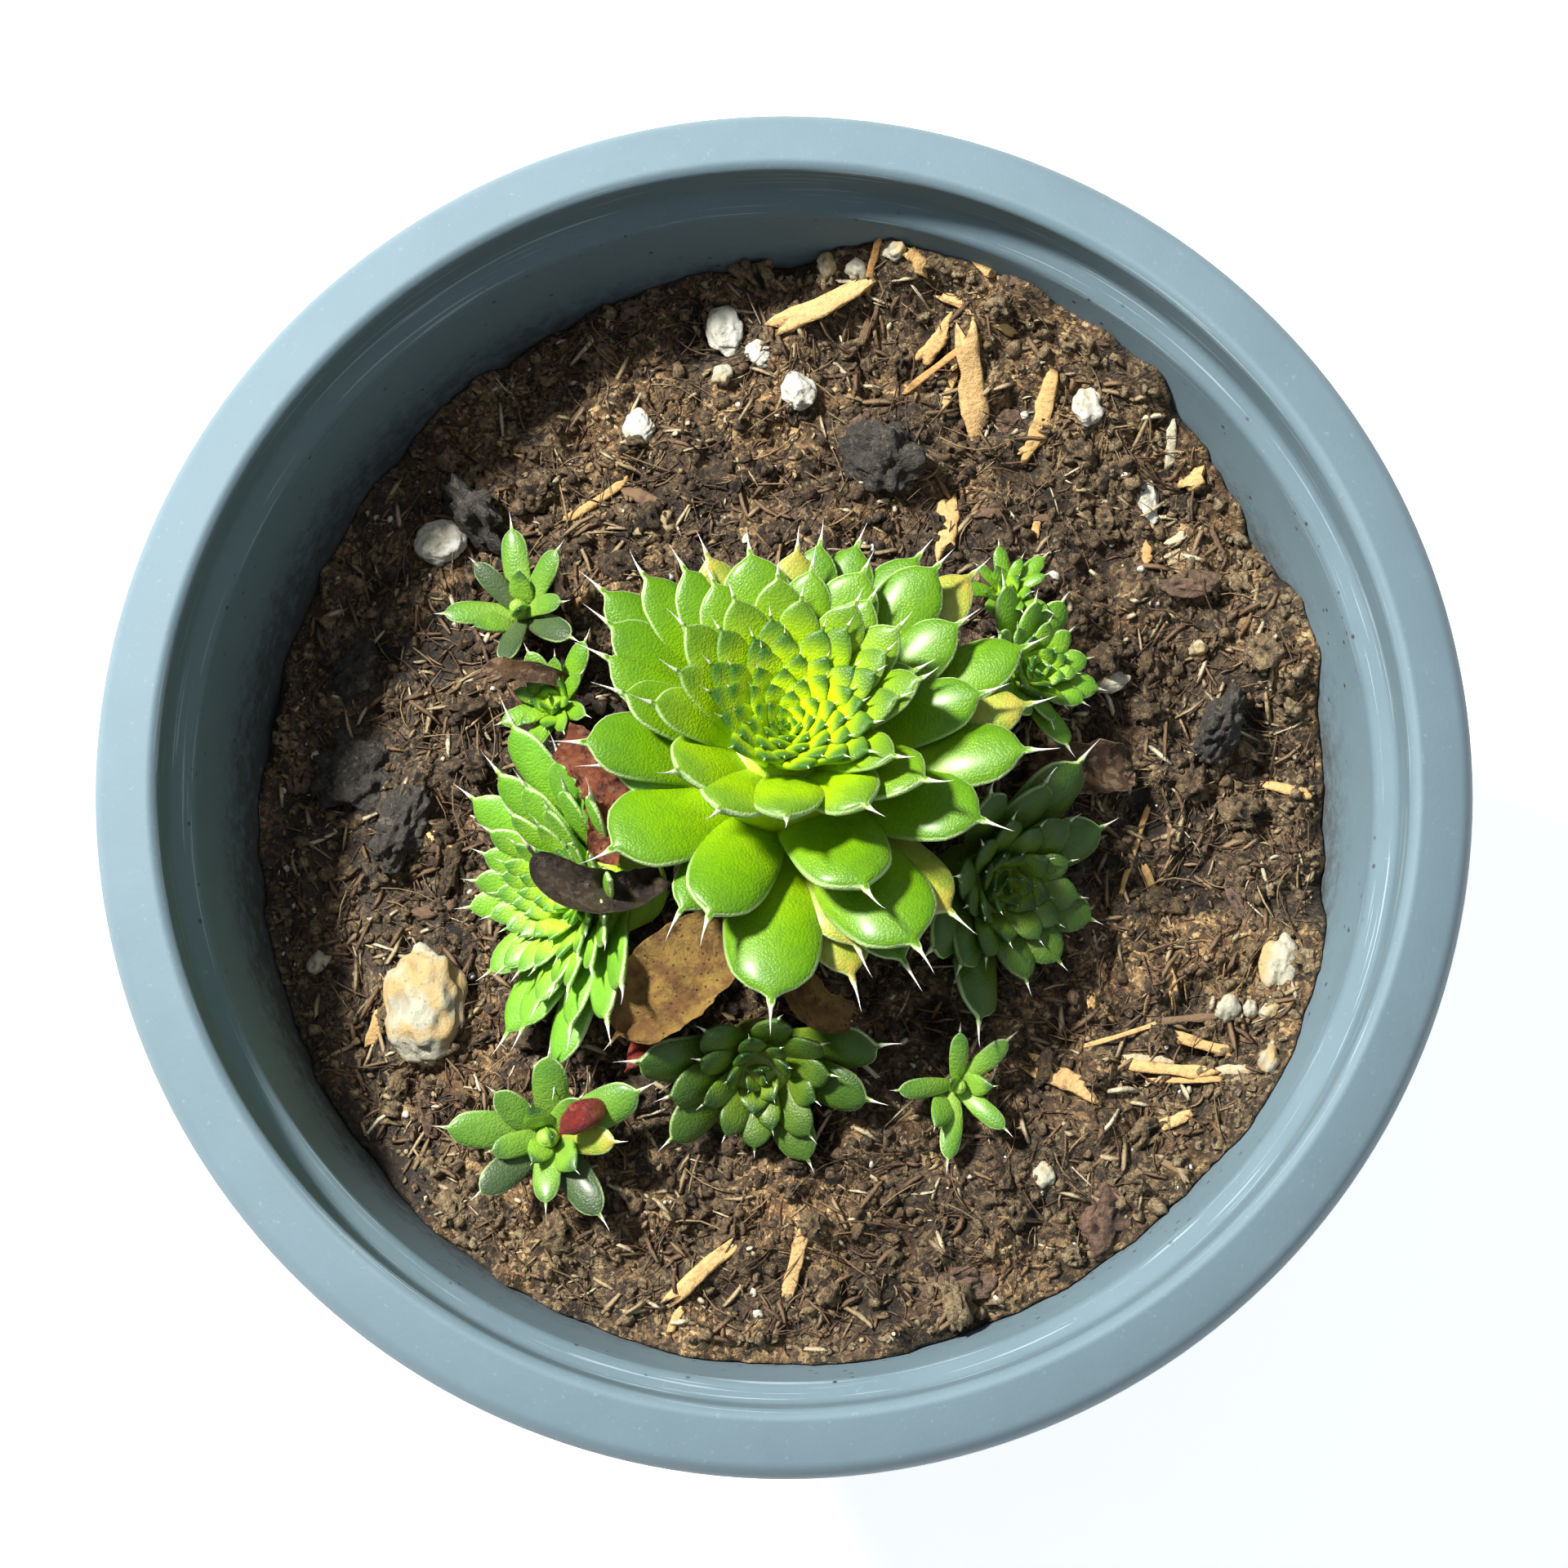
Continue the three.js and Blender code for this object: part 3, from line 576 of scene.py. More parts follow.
def soil_relief(x, y):
    """Clods 6 mm across, crumbs of 2 mm and grit of 0.7 mm, all of them layered noise."""
    flat = np.stack([x, y, 0 * x], axis=-1)
    clods = 0.5 - np.abs(layered_noise(flat / 6.5, 2, 3))
    crumbs = layered_noise(flat / 1.7 + 40, 3, 11)
    grit = 0.5 - np.abs(layered_noise(flat / 0.75 + 90, 2, 23))
    return 1.15 * clods + 0.45 * crumbs + 0.36 * grit


def lie_on(x, y):
    """Height of the visible ground at a place: the soil's height plus its relief, less 0.2 mm."""
    return soil_height(x, y) + soil_relief(x, y) - 0.2


def wall_line(turn):
    """Radius at which the ground meets the wall, found by going back and forth three times."""
    radius = inside_radius(70.0) + 0 * turn
    for _ in range(3):
        radius = inside_radius(lie_on(radius * np.cos(turn), radius * np.sin(turn))) - 0.2
    return radius


# %% The ground's mesh
GROUND_RINGS, GROUND_SIDES = 150, 520
FIRST_RING = 0.006      # share of the way from the middle to the wall
FLOOR_GAP = 0.3
RELIEF_RANGE = 1.6
share = np.linspace(FIRST_RING, 1, GROUND_RINGS)[:, None]
turn = np.linspace(0, 2 * np.pi, GROUND_SIDES, endpoint=False)[None]
ground_radius = share * wall_line(turn)
ground_x, ground_y = ground_radius * np.cos(turn), ground_radius * np.sin(turn)
relief = soil_relief(ground_x, ground_y)
top = np.stack([ground_x, ground_y, lie_on(ground_x, ground_y)], axis=-1)
foot_level = FLOOR_LEVEL + FLOOR_GAP
foot_radius = inside_radius(foot_level) - FLOOR_GAP
foot = [foot_radius * np.cos(turn), foot_radius * np.sin(turn), foot_level + 0 * turn]
rings = np.concatenate([top, np.stack(foot, axis=-1)]).reshape(-1, 3)
middle = lie_on(np.zeros(1), np.zeros(1))[0]
ground_points = np.concatenate([[[0, 0, middle]], rings, [[0, 0, foot_level]]])
ground_faces = outward(ground_points, skin_faces(GROUND_RINGS + 1, GROUND_SIDES))
level_relief = np.full(GROUND_SIDES + 1, 0.5)
raised = np.concatenate([[0.5], (relief / RELIEF_RANGE + 0.5).ravel(), level_relief])
ground_values = {"relief": np.stack([raised, raised, raised, raised], axis=-1)}
print("ground from", round(top[..., 2].min(), 1), "to", round(top[..., 2].max(), 1), "mm high")

# %% [markdown]
# Peat is a warm brown on its crumbs, with reddish and tan specks of bark, and painted shade darkens
# its creases nearly to black. It is paler in patches that have dried, and painted shade makes it
# darker and greyer at the left, where the wall's shadow falls. The relief is carried as a value per
# point, so that the painted crease shade follows the crumbs.

# %% The ground's finish
PEAT_TONES = [
    (0.0, (0.008, 0.006, 0.005)), (0.28, (0.03, 0.022, 0.015)), (0.46, (0.09, 0.062, 0.036)),
    (0.62, (0.19, 0.125, 0.066)), (0.78, (0.33, 0.25, 0.14)), (1.0, (0.52, 0.44, 0.28)),
]
soil_finish = Finish("dark_peat")
height = soil_finish.values("relief")[0]
warp = soil_finish.warped(0.9, 0.35)
fine_motes, coarse_motes = soil_finish.motes(0.32, warp), soil_finish.motes(0.85, warp)
tone = fine_motes * 0.5 + coarse_motes * 0.25 + soil_finish.noise(2.6, 4, 0.7) * 0.4 - 0.1
earth = soil_finish.ramp(tone, PEAT_TONES)
warm = soil_finish.between(soil_finish.noise(3.4, 4, 0.7), 0.53, 0.66)
earth = soil_finish.mix(warm * 0.5, earth, (0.11, 0.055, 0.026))
# painted shade: where the relief is low, in the creases between crumbs, the peat goes nearly black
painted_crease_shade = 1 - soil_finish.between(height, 0.15, 0.6)
earth = soil_finish.mix(painted_crease_shade * 0.8, earth, (0.007, 0.005, 0.004))
damp = soil_finish.between(soil_finish.noise(11, 3), 0.45, 0.65)
earth = soil_finish.mix(damp * 0.35, earth, (0.02, 0.017, 0.014))
dry = soil_finish.between(soil_finish.noise(9, 3, 0.6), 0.46, 0.6)
earth = soil_finish.mix(dry, earth, (2.0, 1.85, 1.6), "MULTIPLY")
place = soil_finish.node("ShaderNodeSeparateXYZ", None, {0: soil_finish.place()})
# painted shade: greyer and darker towards the left, where the wall's shadow falls
left_wall_shade = 1 - soil_finish.between(place * (1 / MM), -38, -18)
earth = soil_finish.mix(left_wall_shade * 0.4, earth, (0.05, 0.052, 0.05))
crumble = soil_finish.noise(0.4, 3, 0.8) + fine_motes * 0.4
soil_material = soil_finish.done(
    Base_Color=earth,
    Roughness=0.95 - damp * 0.25,
    Normal=soil_finish.bump(crumble, 0.6, 1.0),
)
make_piece("peat", ground_points, ground_faces, soil_material, ["soil"], ground_values)

# %% [markdown]
# ## How a leaf is made
# A leaf of this plant is a thick blade, narrow at the root, widest a little past its middle and
# rounded off, with a stiff white spine at the end. Sculpting each would take days. Here the midline
# is a bow from the root to the tip, drawn towards a third point, the knee, and rings of a
# lens-shaped section are set along it, many leaves at once. The blade's rings crowd towards its
# rounded end.

# %% Leaf stations and outline
GOLDEN_ANGLE = 137.508
SPINE_LENGTH = 2.7


def unit(vectors):
    """The vectors, each divided by its own length."""
    return vectors / np.linalg.norm(vectors, axis=-1, keepdims=True)


def outline(along, sharp=0.0):
    """Half width against the greatest: a sine rise to the shoulder, at 0.6 of the length, a round
    end (1 - past^2.6)^0.44 that closes at 0.96, and a cusp 0.5 e^((0.88-a)/0.055) that runs on from
    it, the two joined as the cube root of their cubes. A sharp leaf tapers sooner, without cusp."""
    shoulder = 0.6 - 0.14 * sharp
    rise = 0.38 + 0.62 * np.sin(np.pi / 2 * np.minimum(along / shoulder, 1))
    past = np.clip((along - shoulder) / (0.96 + 0.04 * sharp - shoulder), 0, 1)
    round_end = rise * (1 - past**2.6) ** (0.44 + 0.5 * sharp)
    cusp = 0.5 * (1 - sharp) * np.exp((0.88 - np.maximum(along, 0.88)) / 0.055)
    return np.cbrt(round_end**3 + cusp**3)


def depth_line(along):
    """Half thickness against the greatest: thickest from the middle on, then a round end."""
    rise = 0.5 + 0.5 * np.sin(np.pi / 2 * np.minimum(along / 0.7, 1))
    past = np.clip((along - 0.56) / 0.42, 0, 1)
    return rise * np.sqrt(1 - past**2.4)


# %% Leaf skins
def leaf_skins(leaves, blade_rings, spine_rings, sides):
    """Rings at spot(a) = root (1-a)^2 + knee 2a(1-a) + tip a^2, each a lens: across is cos t x half
    width, up is sin t^1.12 x half thickness plus the edges' lift. Past a = 1 come the spine's
    rings, round and tapering to a point."""
    count = len(leaves["width"])
    t = np.linspace(0, 1, blade_rings + 1)[1:]
    blade = np.sin(np.pi / 2 * t) ** 1.1
    b = np.linspace(0, 1, spine_rings + 2)[1:-1]
    along = np.concatenate([blade, np.ones(spine_rings)])[None, :, None]
    beyond = np.concatenate([np.zeros(blade_rings), b])[None, :, None]
    root, knee, tip = (leaves[key][:, None] for key in ("root", "knee", "tip"))
    chord = leaves["tip"] - leaves["root"]
    side = unit(np.cross(leaves["up"], chord))[:, None]
    spot = root * (1 - along) ** 2 + knee * 2 * along * (1 - along) + tip * along**2
    heading = unit(knee * (1 - 2 * along) + root * (along - 1) + tip * along)
    up = np.cross(heading, side)
    number = leaves["number"][:, None, None]
    sway = spread(number, 31, -0.05, 0.05) * np.linalg.norm(chord, axis=-1)[:, None, None]
    spine = leaves["spine"][:, None, None]
    lifted, leaning = spread(number, 32, -0.02, 0.2), spread(number, 33, -0.12, 0.12)
    spot = spot + side * sway * along**2 + heading * spine * beyond
    spot = spot + (up * lifted + side * leaning) * (spine * beyond**2)
    roll = spread(number, 34, -0.16, 0.16) * along
    side, up = side * np.cos(roll) + up * np.sin(roll), up * np.cos(roll) - side * np.sin(roll)
    width, thick = leaves["width"][:, None, None], leaves["thickness"][:, None, None]
    point = (spine / SPINE_LENGTH) ** 0.6
    taper = point * (0.13 * (1 - beyond) + 0.2 * np.exp(-8 * beyond))
    fillet = point * np.exp((along - 1) / 0.05)
    sharp = leaves["sharp"][:, None, None]
    half = np.where(beyond > 0, taper, width / 2 * outline(along, sharp) + fillet * 0.12)
    deep = np.where(beyond > 0, taper, thick / 2 * depth_line(along) + fillet * 0.28)
    turn = (2 * np.pi * np.arange(sides) / sides)[None, None, :]
    across = np.cos(turn) * half
    wave = 0.03 * width * np.sin(9 * along + 6 * draw(number, 35)) * np.abs(np.cos(turn)) ** 3
    keel = np.where(np.sin(turn) < 0, 1.15, 0.85)
    lens = np.where(beyond > 0, np.sin(turn), np.sign(np.sin(turn)) * np.abs(np.sin(turn)) ** 1.12)
    lift = leaves["cup"][:, None, None] * np.cos(turn) ** 2 * half + wave
    lift = np.where(beyond > 0, 0, lift * outline(along, sharp))
    rise = lens * deep * keel + lift
    rings = spot[:, :, None] + side[:, :, None] * across[..., None] + up[:, :, None] * rise[..., None]
    spine_tip = leaves["tip"] + side[:, -1] * (sway[:, 0] + leaning[:, 0] * spine[:, 0])
    spine_tip = spine_tip + heading[:, -1] * spine[:, 0] + up[:, -1] * lifted[:, 0] * spine[:, 0]
    ends = leaves["root"][:, None], spine_tip[:, None]
    points = np.concatenate([ends[0], rings.reshape(count, -1, 3), ends[1]], axis=1)
    inward = half * (1 - np.abs(np.cos(turn)))
    rim = np.exp(-((inward / (0.012 * width + 0.12)) ** 2)) * np.clip(3 * along - 1.0, 0, 1)
    rim = np.where(beyond > 0, 1, rim)
    upper = np.clip(0.5 + 0.5 * np.sin(turn), 0, 1) + 0 * rim
    blade_values = np.stack([along + 0 * rim, rim, beyond + 0 * rim, upper], axis=-1)
    blade_values = blade_values.reshape(count, -1, 4)
    first = np.tile([[[0, 0, 0, 0.5]]], (count, 1, 1))
    last = np.tile([[[1, 1, 1, 0.5]]], (count, 1, 1))
    blade_values = np.concatenate([first, blade_values, last], axis=1)
    kind = np.stack([leaves["size"], draw(leaves["number"], 41), leaves["tint"], leaves["reach"] / 25])
    kind = np.repeat(kind.T[:, None], points.shape[1], axis=1)
    flat, faces = skin_batch(points, blade_rings + spine_rings, sides)
    return flat, outward(flat, faces), {"blade": blade_values.reshape(-1, 4), "kind": kind.reshape(-1, 4)}


# %% [markdown]
# ## How a rosette is built
# Each new leaf stands 137.5 degrees round from the last, and the older a leaf is, the longer and
# the more open it lies. So a rosette is a spiral: the reach falls evenly in proportion from leaf to
# leaf, and root, tip and tilt follow from the reach. The old leaves of the large rosette have
# been pushed out of step, and are given one by one.

# %% Rosettes
# heart is the growing point, and lean the tilt of its axis towards +X and +Y in degrees. reach is
# about that of the longest leaf, spiral that of the oldest leaf on the spiral, and fade the number
# of leaves over which the reach falls to 1/e. leaves lie open, and scales stand inside them. bowl
# is how high the tips round the heart stand up, spin the turn of the first leaf, and hand the way
# the spiral runs. broad is the leaf width against the usual, held how strongly and held_at along
# which direction the leaves are held short, where in the large one the spiral makes way for the old
# leaves. stem is a radius, and core how thick the dome is. The leaves numbered under dull are
# painted a dark grey-green as painted shade, and those under aged have begun to yellow.
ROSETTES = {
    "main_rosette": dict(
        heart=(0.2, 3.3, 90.2), lean=(4, 16), reach=19.5, spiral=10.8, fade=58, leaves=36,
        scales=48, bowl=3.2, spin=40, hand=1, broad=1, held=0, held_at=250, stem=2.4, core=1,
    ),
    "left_rosette": dict(
        heart=(-17.4, -8.8, 80), lean=(-44, -16), reach=15, spiral=14.8, fade=50, leaves=50,
        scales=22, bowl=1.6, spin=10, hand=-1, broad=0.84, held=0.42, held_at=0, stem=1.8, core=0.8,
    ),
    "right_rosette": dict(
        heart=(17.8, -8.0, 79.5), lean=(36, -18), reach=12, spiral=12, fade=25, leaves=22,
        scales=14, bowl=1, spin=70, hand=1, broad=1.18, held=0.3, held_at=165, stem=1.6, core=0.8,
    ),
    "front_rosette": dict(
        heart=(-1.9, -22.9, 78), lean=(3, -34), reach=10.8, spiral=10.8, fade=21, leaves=18,
        scales=9, bowl=1, spin=25, hand=1, broad=1.16, held=0.3, held_at=88, stem=1.6, core=0.8,
    ),
    "back_rosette": dict(
        heart=(20.4, 9.6, 79), lean=(34, 4), reach=7.6, spiral=7.6, fade=22, leaves=18,
        scales=12, spin=120, hand=-1, broad=1.1, held=0.25, held_at=190, stem=1.3, core=0.8,
    ),
    "back_bud": dict(
        heart=(17.8, 16.4, 78.5), lean=(8, 20), reach=4.4, spiral=4.4, fade=14, leaves=9,
        scales=7, spin=45, hand=1, broad=0.95, held=0, held_at=0, stem=1, core=0.5,
    ),
    "side_bud": dict(
        heart=(-18.6, 7.0, 79), lean=(-24, 4), reach=6, spiral=6, fade=14, leaves=11,
        scales=8, spin=60, hand=1, broad=1, held=0.25, held_at=350, stem=1, core=0.5,
    ),
    "far_left_sprout": dict(
        heart=(-21.6, 15.2, 77.5), lean=(-16, 12), reach=7, spiral=7, fade=13, leaves=7,
        scales=3, spin=100, hand=-1, broad=0.95, held=0, held_at=0, stem=0.9, core=0.3,
        dull=(1, 4, 5),
    ),
    "near_left_sprout": dict(
        heart=(-18.6, -27.4, 78), lean=(-6, -10), reach=8.8, spiral=8.8, fade=12, leaves=10,
        scales=4, spin=30, hand=1, broad=1.05, held=0, held_at=0, stem=1.1, core=0.3,
        aged=(5,), dull=(2, 4),
    ),
    "near_right_sprout": dict(
        heart=(13.8, -23.4, 77), lean=(8, -12), reach=6, spiral=6, fade=13, leaves=5,
        scales=3, spin=265, hand=1, broad=0.85, held=0, held_at=0, stem=0.9, core=0.3,
    ),
}
# Rows of the turn in degrees, the reach, the width and how much the tip is raised, in mm.
OLD_LEAVES = np.array([
    [9, 19.2, 4.6, -1.2], [11, 15.3, 5, 0], [20, 10.5, 4, 0.4], [22, 20.2, 4.8, 0],
    [31, 15.9, 4.6, 0], [42, 20.6, 4.8, 0], [46, 17.8, 5.6, 0.6], [55, 18.2, 5, 0.2],
    [56, 11.7, 4.2, 0.6], [64, 13.6, 5.2, 1], [70, 16.8, 4.8, 0], [80, 12.5, 4.2, 0.6],
    [80, 15.5, 4.4, 0], [88, 14.6, 4.6, 0], [93, 10, 4.2, 0.6], [100, 13.8, 5.6, 1],
    [111, 15, 4.2, 0], [117, 12.6, 4.8, 0.5], [123, 14.8, 4.6, 0], [130, 16.2, 4.6, 0],
    [139, 18, 4.6, -0.6], [148, 15.7, 4.8, -0.6], [159, 14.7, 5, -1], [168, 12.5, 4.6, -0.6],
    [182, 15.3, 5.8, -2], [190, 13.5, 5, -3.8], [210, 10, 6.2, 1.4], [216, 16, 6.9, -3],
    [239, 10.2, 6, 1.8], [241, 15.5, 4.4, -5], [250, 16, 6.4, -2.4], [266, 20.2, 7.4, -4],
    [268, 9.4, 5.6, 2.2], [288, 16.4, 5, -7], [288, 18, 5, -8], [294, 14.4, 7.4, -1.6],
    [299, 18.7, 5, -7], [301, 19, 8.2, -3.6], [307, 10, 5.6, 2], [315, 18, 6, -5.4],
    [333, 16.4, 6.4, -1.5], [332, 11.6, 5.4, 1.6], [354, 18.5, 5.6, -1],
])
AGEING = (0, 5, 13, 16, 33, 34, 39)     # rows of OLD_LEAVES that have begun to yellow


def axes_of(rosette):
    """The rosette's axis and the two directions across it, from its lean."""
    right, far = np.tan(np.radians(rosette["lean"]))
    axis = unit(np.array([right, far, 1.0]))
    across = unit(np.cross([0, 1, 0], axis))
    return axis, across, np.cross(axis, across)


def leaves_of(name):
    """All leaves of a rosette as arrays. Leaf n reaches spiral x exp(-n / fade), and the small
    upright scales inside them reach in to the growing point as share^0.75. A leaf's tip stands
    0.26 s (1-s) - 0.06 s^3 of the greatest reach over the heart, s being its share of that reach,
    and the tips round the heart stand up as a bowl x (1 - exp(-(reach / 5)^2))."""
    rosette = ROSETTES[name]
    axis, e1, e2 = axes_of(rosette)
    full_reach = rosette["reach"]
    number = np.arange(rosette["leaves"] + rosette["scales"])
    turn = rosette["spin"] + rosette["hand"] * GOLDEN_ANGLE * number + (draw(number, 1) - 0.5) * 8
    is_scale = number >= rosette["leaves"]
    disc = rosette["spiral"] * np.exp(-rosette["leaves"] / rosette["fade"])
    inner = np.clip((rosette["leaves"] + rosette["scales"] - number - 0.5) / rosette["scales"], 0, 1)
    reach = np.where(is_scale, disc * inner**0.75, rosette["spiral"] * np.exp(-number / rosette["fade"]))
    facing = np.cos(np.radians(turn - rosette["held_at"]))
    reach = reach * (1 - rosette["held"] * facing**2) * (0.96 + 0.08 * draw(number, 2))
    width = reach * (0.48 - 0.12 * reach / full_reach) * rosette["broad"]
    # aged leaves get a tint of 0.7 and dull ones -1, which the finish paints dark grey-green as shade
    age_and_shade = np.isin(number, rosette.get("aged", ())) * 0.7 - np.isin(number, rosette.get("dull", ())) * 1.0
    rise = rosette.get("bowl", 0) * (1 - np.exp(-((reach / 5) ** 2)))
    if name == "main_rosette":
        kept = is_scale | (facing < 0.35)
        number, turn, reach, width, is_scale, age_and_shade, rise = (
            np.concatenate([given, part[kept]])
            for given, part in (
                (np.arange(len(OLD_LEAVES)) + 300, number),
                (OLD_LEAVES[:, 0], turn),
                (OLD_LEAVES[:, 1], reach),
                (OLD_LEAVES[:, 2], width),
                (np.zeros(len(OLD_LEAVES), bool), is_scale),
                (np.isin(np.arange(len(OLD_LEAVES)), AGEING) * 0.7, age_and_shade),
                (OLD_LEAVES[:, 3], rise),
            )
        )
    width = width * (0.95 + 0.1 * draw(number, 5))
    width = np.where(is_scale, (1.4 + 0.34 * reach) * rosette["broad"], width)
    size = reach / full_reach
    away = np.clip(-np.cos(np.radians(turn - rosette["held_at"])), 0, 1)
    turn = np.radians(turn)[:, None]
    out = e1 * np.cos(turn) + e2 * np.sin(turn)
    tip_height = full_reach * (0.26 * size * (1 - size) - 0.06 * size**3) + rise
    sparse = rosette["core"] < 0.8
    root_radius = full_reach * (0.05 if sparse else 0.2) * size**0.8
    root_height = -full_reach * (0.08 + 0.42 * size**0.7) + 0.2 * rise
    root_radius = np.where(is_scale, (0.25 if sparse else 0.52) * reach, root_radius)
    root_height = np.where(is_scale, tip_height - 0.7 * rise - 2.6 - 0.35 * reach, root_height)
    heart = np.array(rosette["heart"])
    root = heart + out * root_radius[:, None] + axis * root_height[:, None]
    wobble = (draw(number, 3) - 0.5) * 0.06 * reach
    tip = heart + out * reach[:, None] + axis * (tip_height + wobble)[:, None]
    climb, span = (tip_height - root_height)[:, None], (reach - root_radius)[:, None]
    bow = (0.13 + 0.05 * draw(number, 4))[:, None]
    knee = (root + tip) / 2 - out * climb * bow + axis * span * bow
    return dict(
        root=root, knee=knee, tip=tip, up=axis * span - out * climb, width=width, number=number,
        cup=0.16 - 0.26 * size, thickness=np.where(is_scale, 0.3, 0.34) * width, reach=reach,
        spine=SPINE_LENGTH * (0.1 + 0.9 * np.minimum(1, (reach / 12) ** 1.4)) * (1 - 0.35 * away),
        size=size, tint=age_and_shade,
        sharp=np.where(is_scale, 1.0, 0.25 * (1 - size)),
    )


# %% The core and stem under the leaves
def core_skin(name):
    """A turned dome under the scales, set on the rosette's axis, and an upright stem below it."""
    rosette = ROSETTES[name]
    axis, e1, e2 = axes_of(rosette)
    size, heart = rosette["reach"], np.array(rosette["heart"])
    profile = np.array(
        [[0, -0.04], [0.16, -0.05], [0.34, -0.1], [0.42, -0.2], [0.36, -0.36], [0.3, -0.58], [0, -0.66]]
    )
    profile = (profile + [0, -0.03]) * [0.84 * size * rosette["core"], size]
    dome, dome_faces = turned(rounded([(*corner, 0.06 * size) for corner in profile]), 32)
    dome = heart + dome[:, :1] * e1 + dome[:, 1:2] * e2 + dome[:, 2:] * axis
    foot = heart - 0.5 * size * axis
    bottom = soil_height(foot[0], foot[1]) - 5
    width = rosette["stem"]
    stem_line = [(0, bottom, 0), (width, bottom, 0.2), (width, foot[2], 0.3), (0, foot[2], 0)]
    stem, stem_faces = turned(rounded(stem_line), 20)
    stem = stem + [foot[0], foot[1], 0]

    def values(points, bark):
        """The same values at every point: a place near a leaf's root, and how barky it is."""
        blade = np.tile([0.1, 0.0, 0.0, 0.0], (len(points), 1))
        return {"blade": blade, "kind": np.tile([0.3, 0.5, bark, 0.5], (len(points), 1))}

    return [(dome, dome_faces, values(dome, 0.0)), (stem, stem_faces, values(stem, 1.0))]


# %% [markdown]
# ## Living leaf
# The flesh is translucent under a waxy skin, with tiny blisters that break up every highlight. So
# the shader lets some light into the leaf and lays a thin clear coat over it. It is yellow-green at
# the growing point and deeper towards the old leaves, paler at the root, partly its own colour and
# partly a painted glow of light through the flesh, and darker towards the tip. Its sides and
# underside are painted darker green, partly its own edge colour and partly painted shade. It is
# edged with a thin horny white line that ends in the spine.


# %% Living leaf
def leaf_finish(name, young, grown, dark, glow, edged):
    """The finish of living leaves: colors for scales, for grown leaves, for their dark tips and for
    their lit flesh near the root. `edged` is the reach in mm from which the edges are horny."""
    finish = Finish(name)
    along, rim, beyond, upper = finish.values("blade")
    size, chance, tint, reach = finish.values("kind")
    green = finish.mix(finish.between(size, 0.1, 0.8), young, grown)
    # partly painted light: the flesh near the root is paler, as a glow of light shining through it
    green = finish.mix((1 - finish.between(along, 0.15, 0.8)) * 0.6, green, glow)
    patch = finish.noise(1.4, 3, 0.6)
    green = finish.mix(finish.between(patch, 0.42, 0.68) * 0.18, green, dark)
    green = finish.mix(chance * 0.16, green, dark)
    # partly painted shade: the sides and underside of each blade go darker green
    edge_tone_and_shade = (1 - finish.between(upper, 0.5, 0.95)) * finish.between(along, 0.3, 0.9)
    green = finish.mix(edge_tone_and_shade * 0.3, green, dark)
    grown_share = finish.between(size, 0.28, 0.75)
    tip = finish.between(along, 0.72 - grown_share * 0.04, 0.95) * (1 - grown_share * 0.72)
    green = finish.mix(tip * 0.92, green, dark)
    ageing = finish.between(tint, 0.1, 0.9) * (0.55 + finish.between(patch, 0.3, 0.6) * 0.6)
    green = finish.mix(ageing, green, (0.38, 0.42, 0.06))
    green = finish.mix(ageing * finish.between(along, 0.82, 1.0) * 0.45, green, (0.5, 0.22, 0.06))
    # painted shade: leaves with a negative tint, the ones listed under dull, go dark grey-green
    green = finish.mix(finish.between(0 - tint, 0.1, 0.9) * 0.8, green, (0.045, 0.06, 0.045))
    horn = finish.mix(finish.between(beyond, 0.0, 0.3), (0.5, 0.66, 0.3), (0.8, 0.8, 0.7))
    horny = finish.between(reach, 0.5 * edged / 25, edged / 25)
    edge = finish.between(rim, 0.35, 0.9) * (0.2 + finish.between(along, 0.5, 0.92) * 0.7) * horny
    edge = edge * (1 - beyond) + finish.between(beyond, 0.0, 0.12) * 0.9
    green = finish.mix(edge, green, horn)
    green = finish.mix(finish.between(tint, 0.95, 1.0), green, (0.09, 0.06, 0.035))
    blisters = finish.cells(0.2)
    grain = finish.bump(1 - blisters, 0.06, 0.9)
    relief = finish.bump(finish.noise(1.6, 2), 0.03, 0.35, grain)
    return finish.done(
        Base_Color=green,
        Roughness=0.3 + blisters * 0.14 + patch * 0.08,
        Normal=relief,
        Subsurface_Weight=0.2,
        Specular_IOR_Level=0.25,
        Coat_Weight=0.42,
        Coat_Roughness=0.3,
        Subsurface_Radius=(0.5, 1.0, 0.12),
        Subsurface_Scale=1.2 * MM,
    )


main_leaf = leaf_finish(
    "living_leaf", (0.62, 0.9, 0.004), (0.15, 0.34, 0.002), (0.01, 0.1, 0.016), (0.5, 0.74, 0.004), 12
)
# painted light and shade: the left rosette's leaves are painted lighter, as if in full light, and the
# right and front rosettes' darker and olive, as painted shade
painted_light_leaf = leaf_finish(
    "painted_light_leaf", (0.48, 0.8, 0.05), (0.22, 0.52, 0.04), (0.05, 0.2, 0.03), (0.55, 0.82, 0.06), 7
)
offset_leaf = leaf_finish(
    "offset_leaf", (0.34, 0.62, 0.03), (0.15, 0.36, 0.02), (0.012, 0.09, 0.015), (0.36, 0.56, 0.02), 5
)
painted_shade_leaf = leaf_finish(
    "painted_shade_leaf", (0.16, 0.26, 0.02), (0.07, 0.15, 0.014), (0.01, 0.05, 0.01), (0.2, 0.27, 0.02), 11
)
sprout_leaf = leaf_finish(
    "sprout_leaf", (0.26, 0.5, 0.04), (0.14, 0.32, 0.035), (0.02, 0.08, 0.025), (0.38, 0.58, 0.1), 6
)
LEAF_FINISHES = {
    "main_rosette": main_leaf, "left_rosette": painted_light_leaf, "right_rosette": painted_shade_leaf,
    "front_rosette": painted_shade_leaf, "far_left_sprout": sprout_leaf, "near_left_sprout": sprout_leaf,
    "near_right_sprout": sprout_leaf,
}

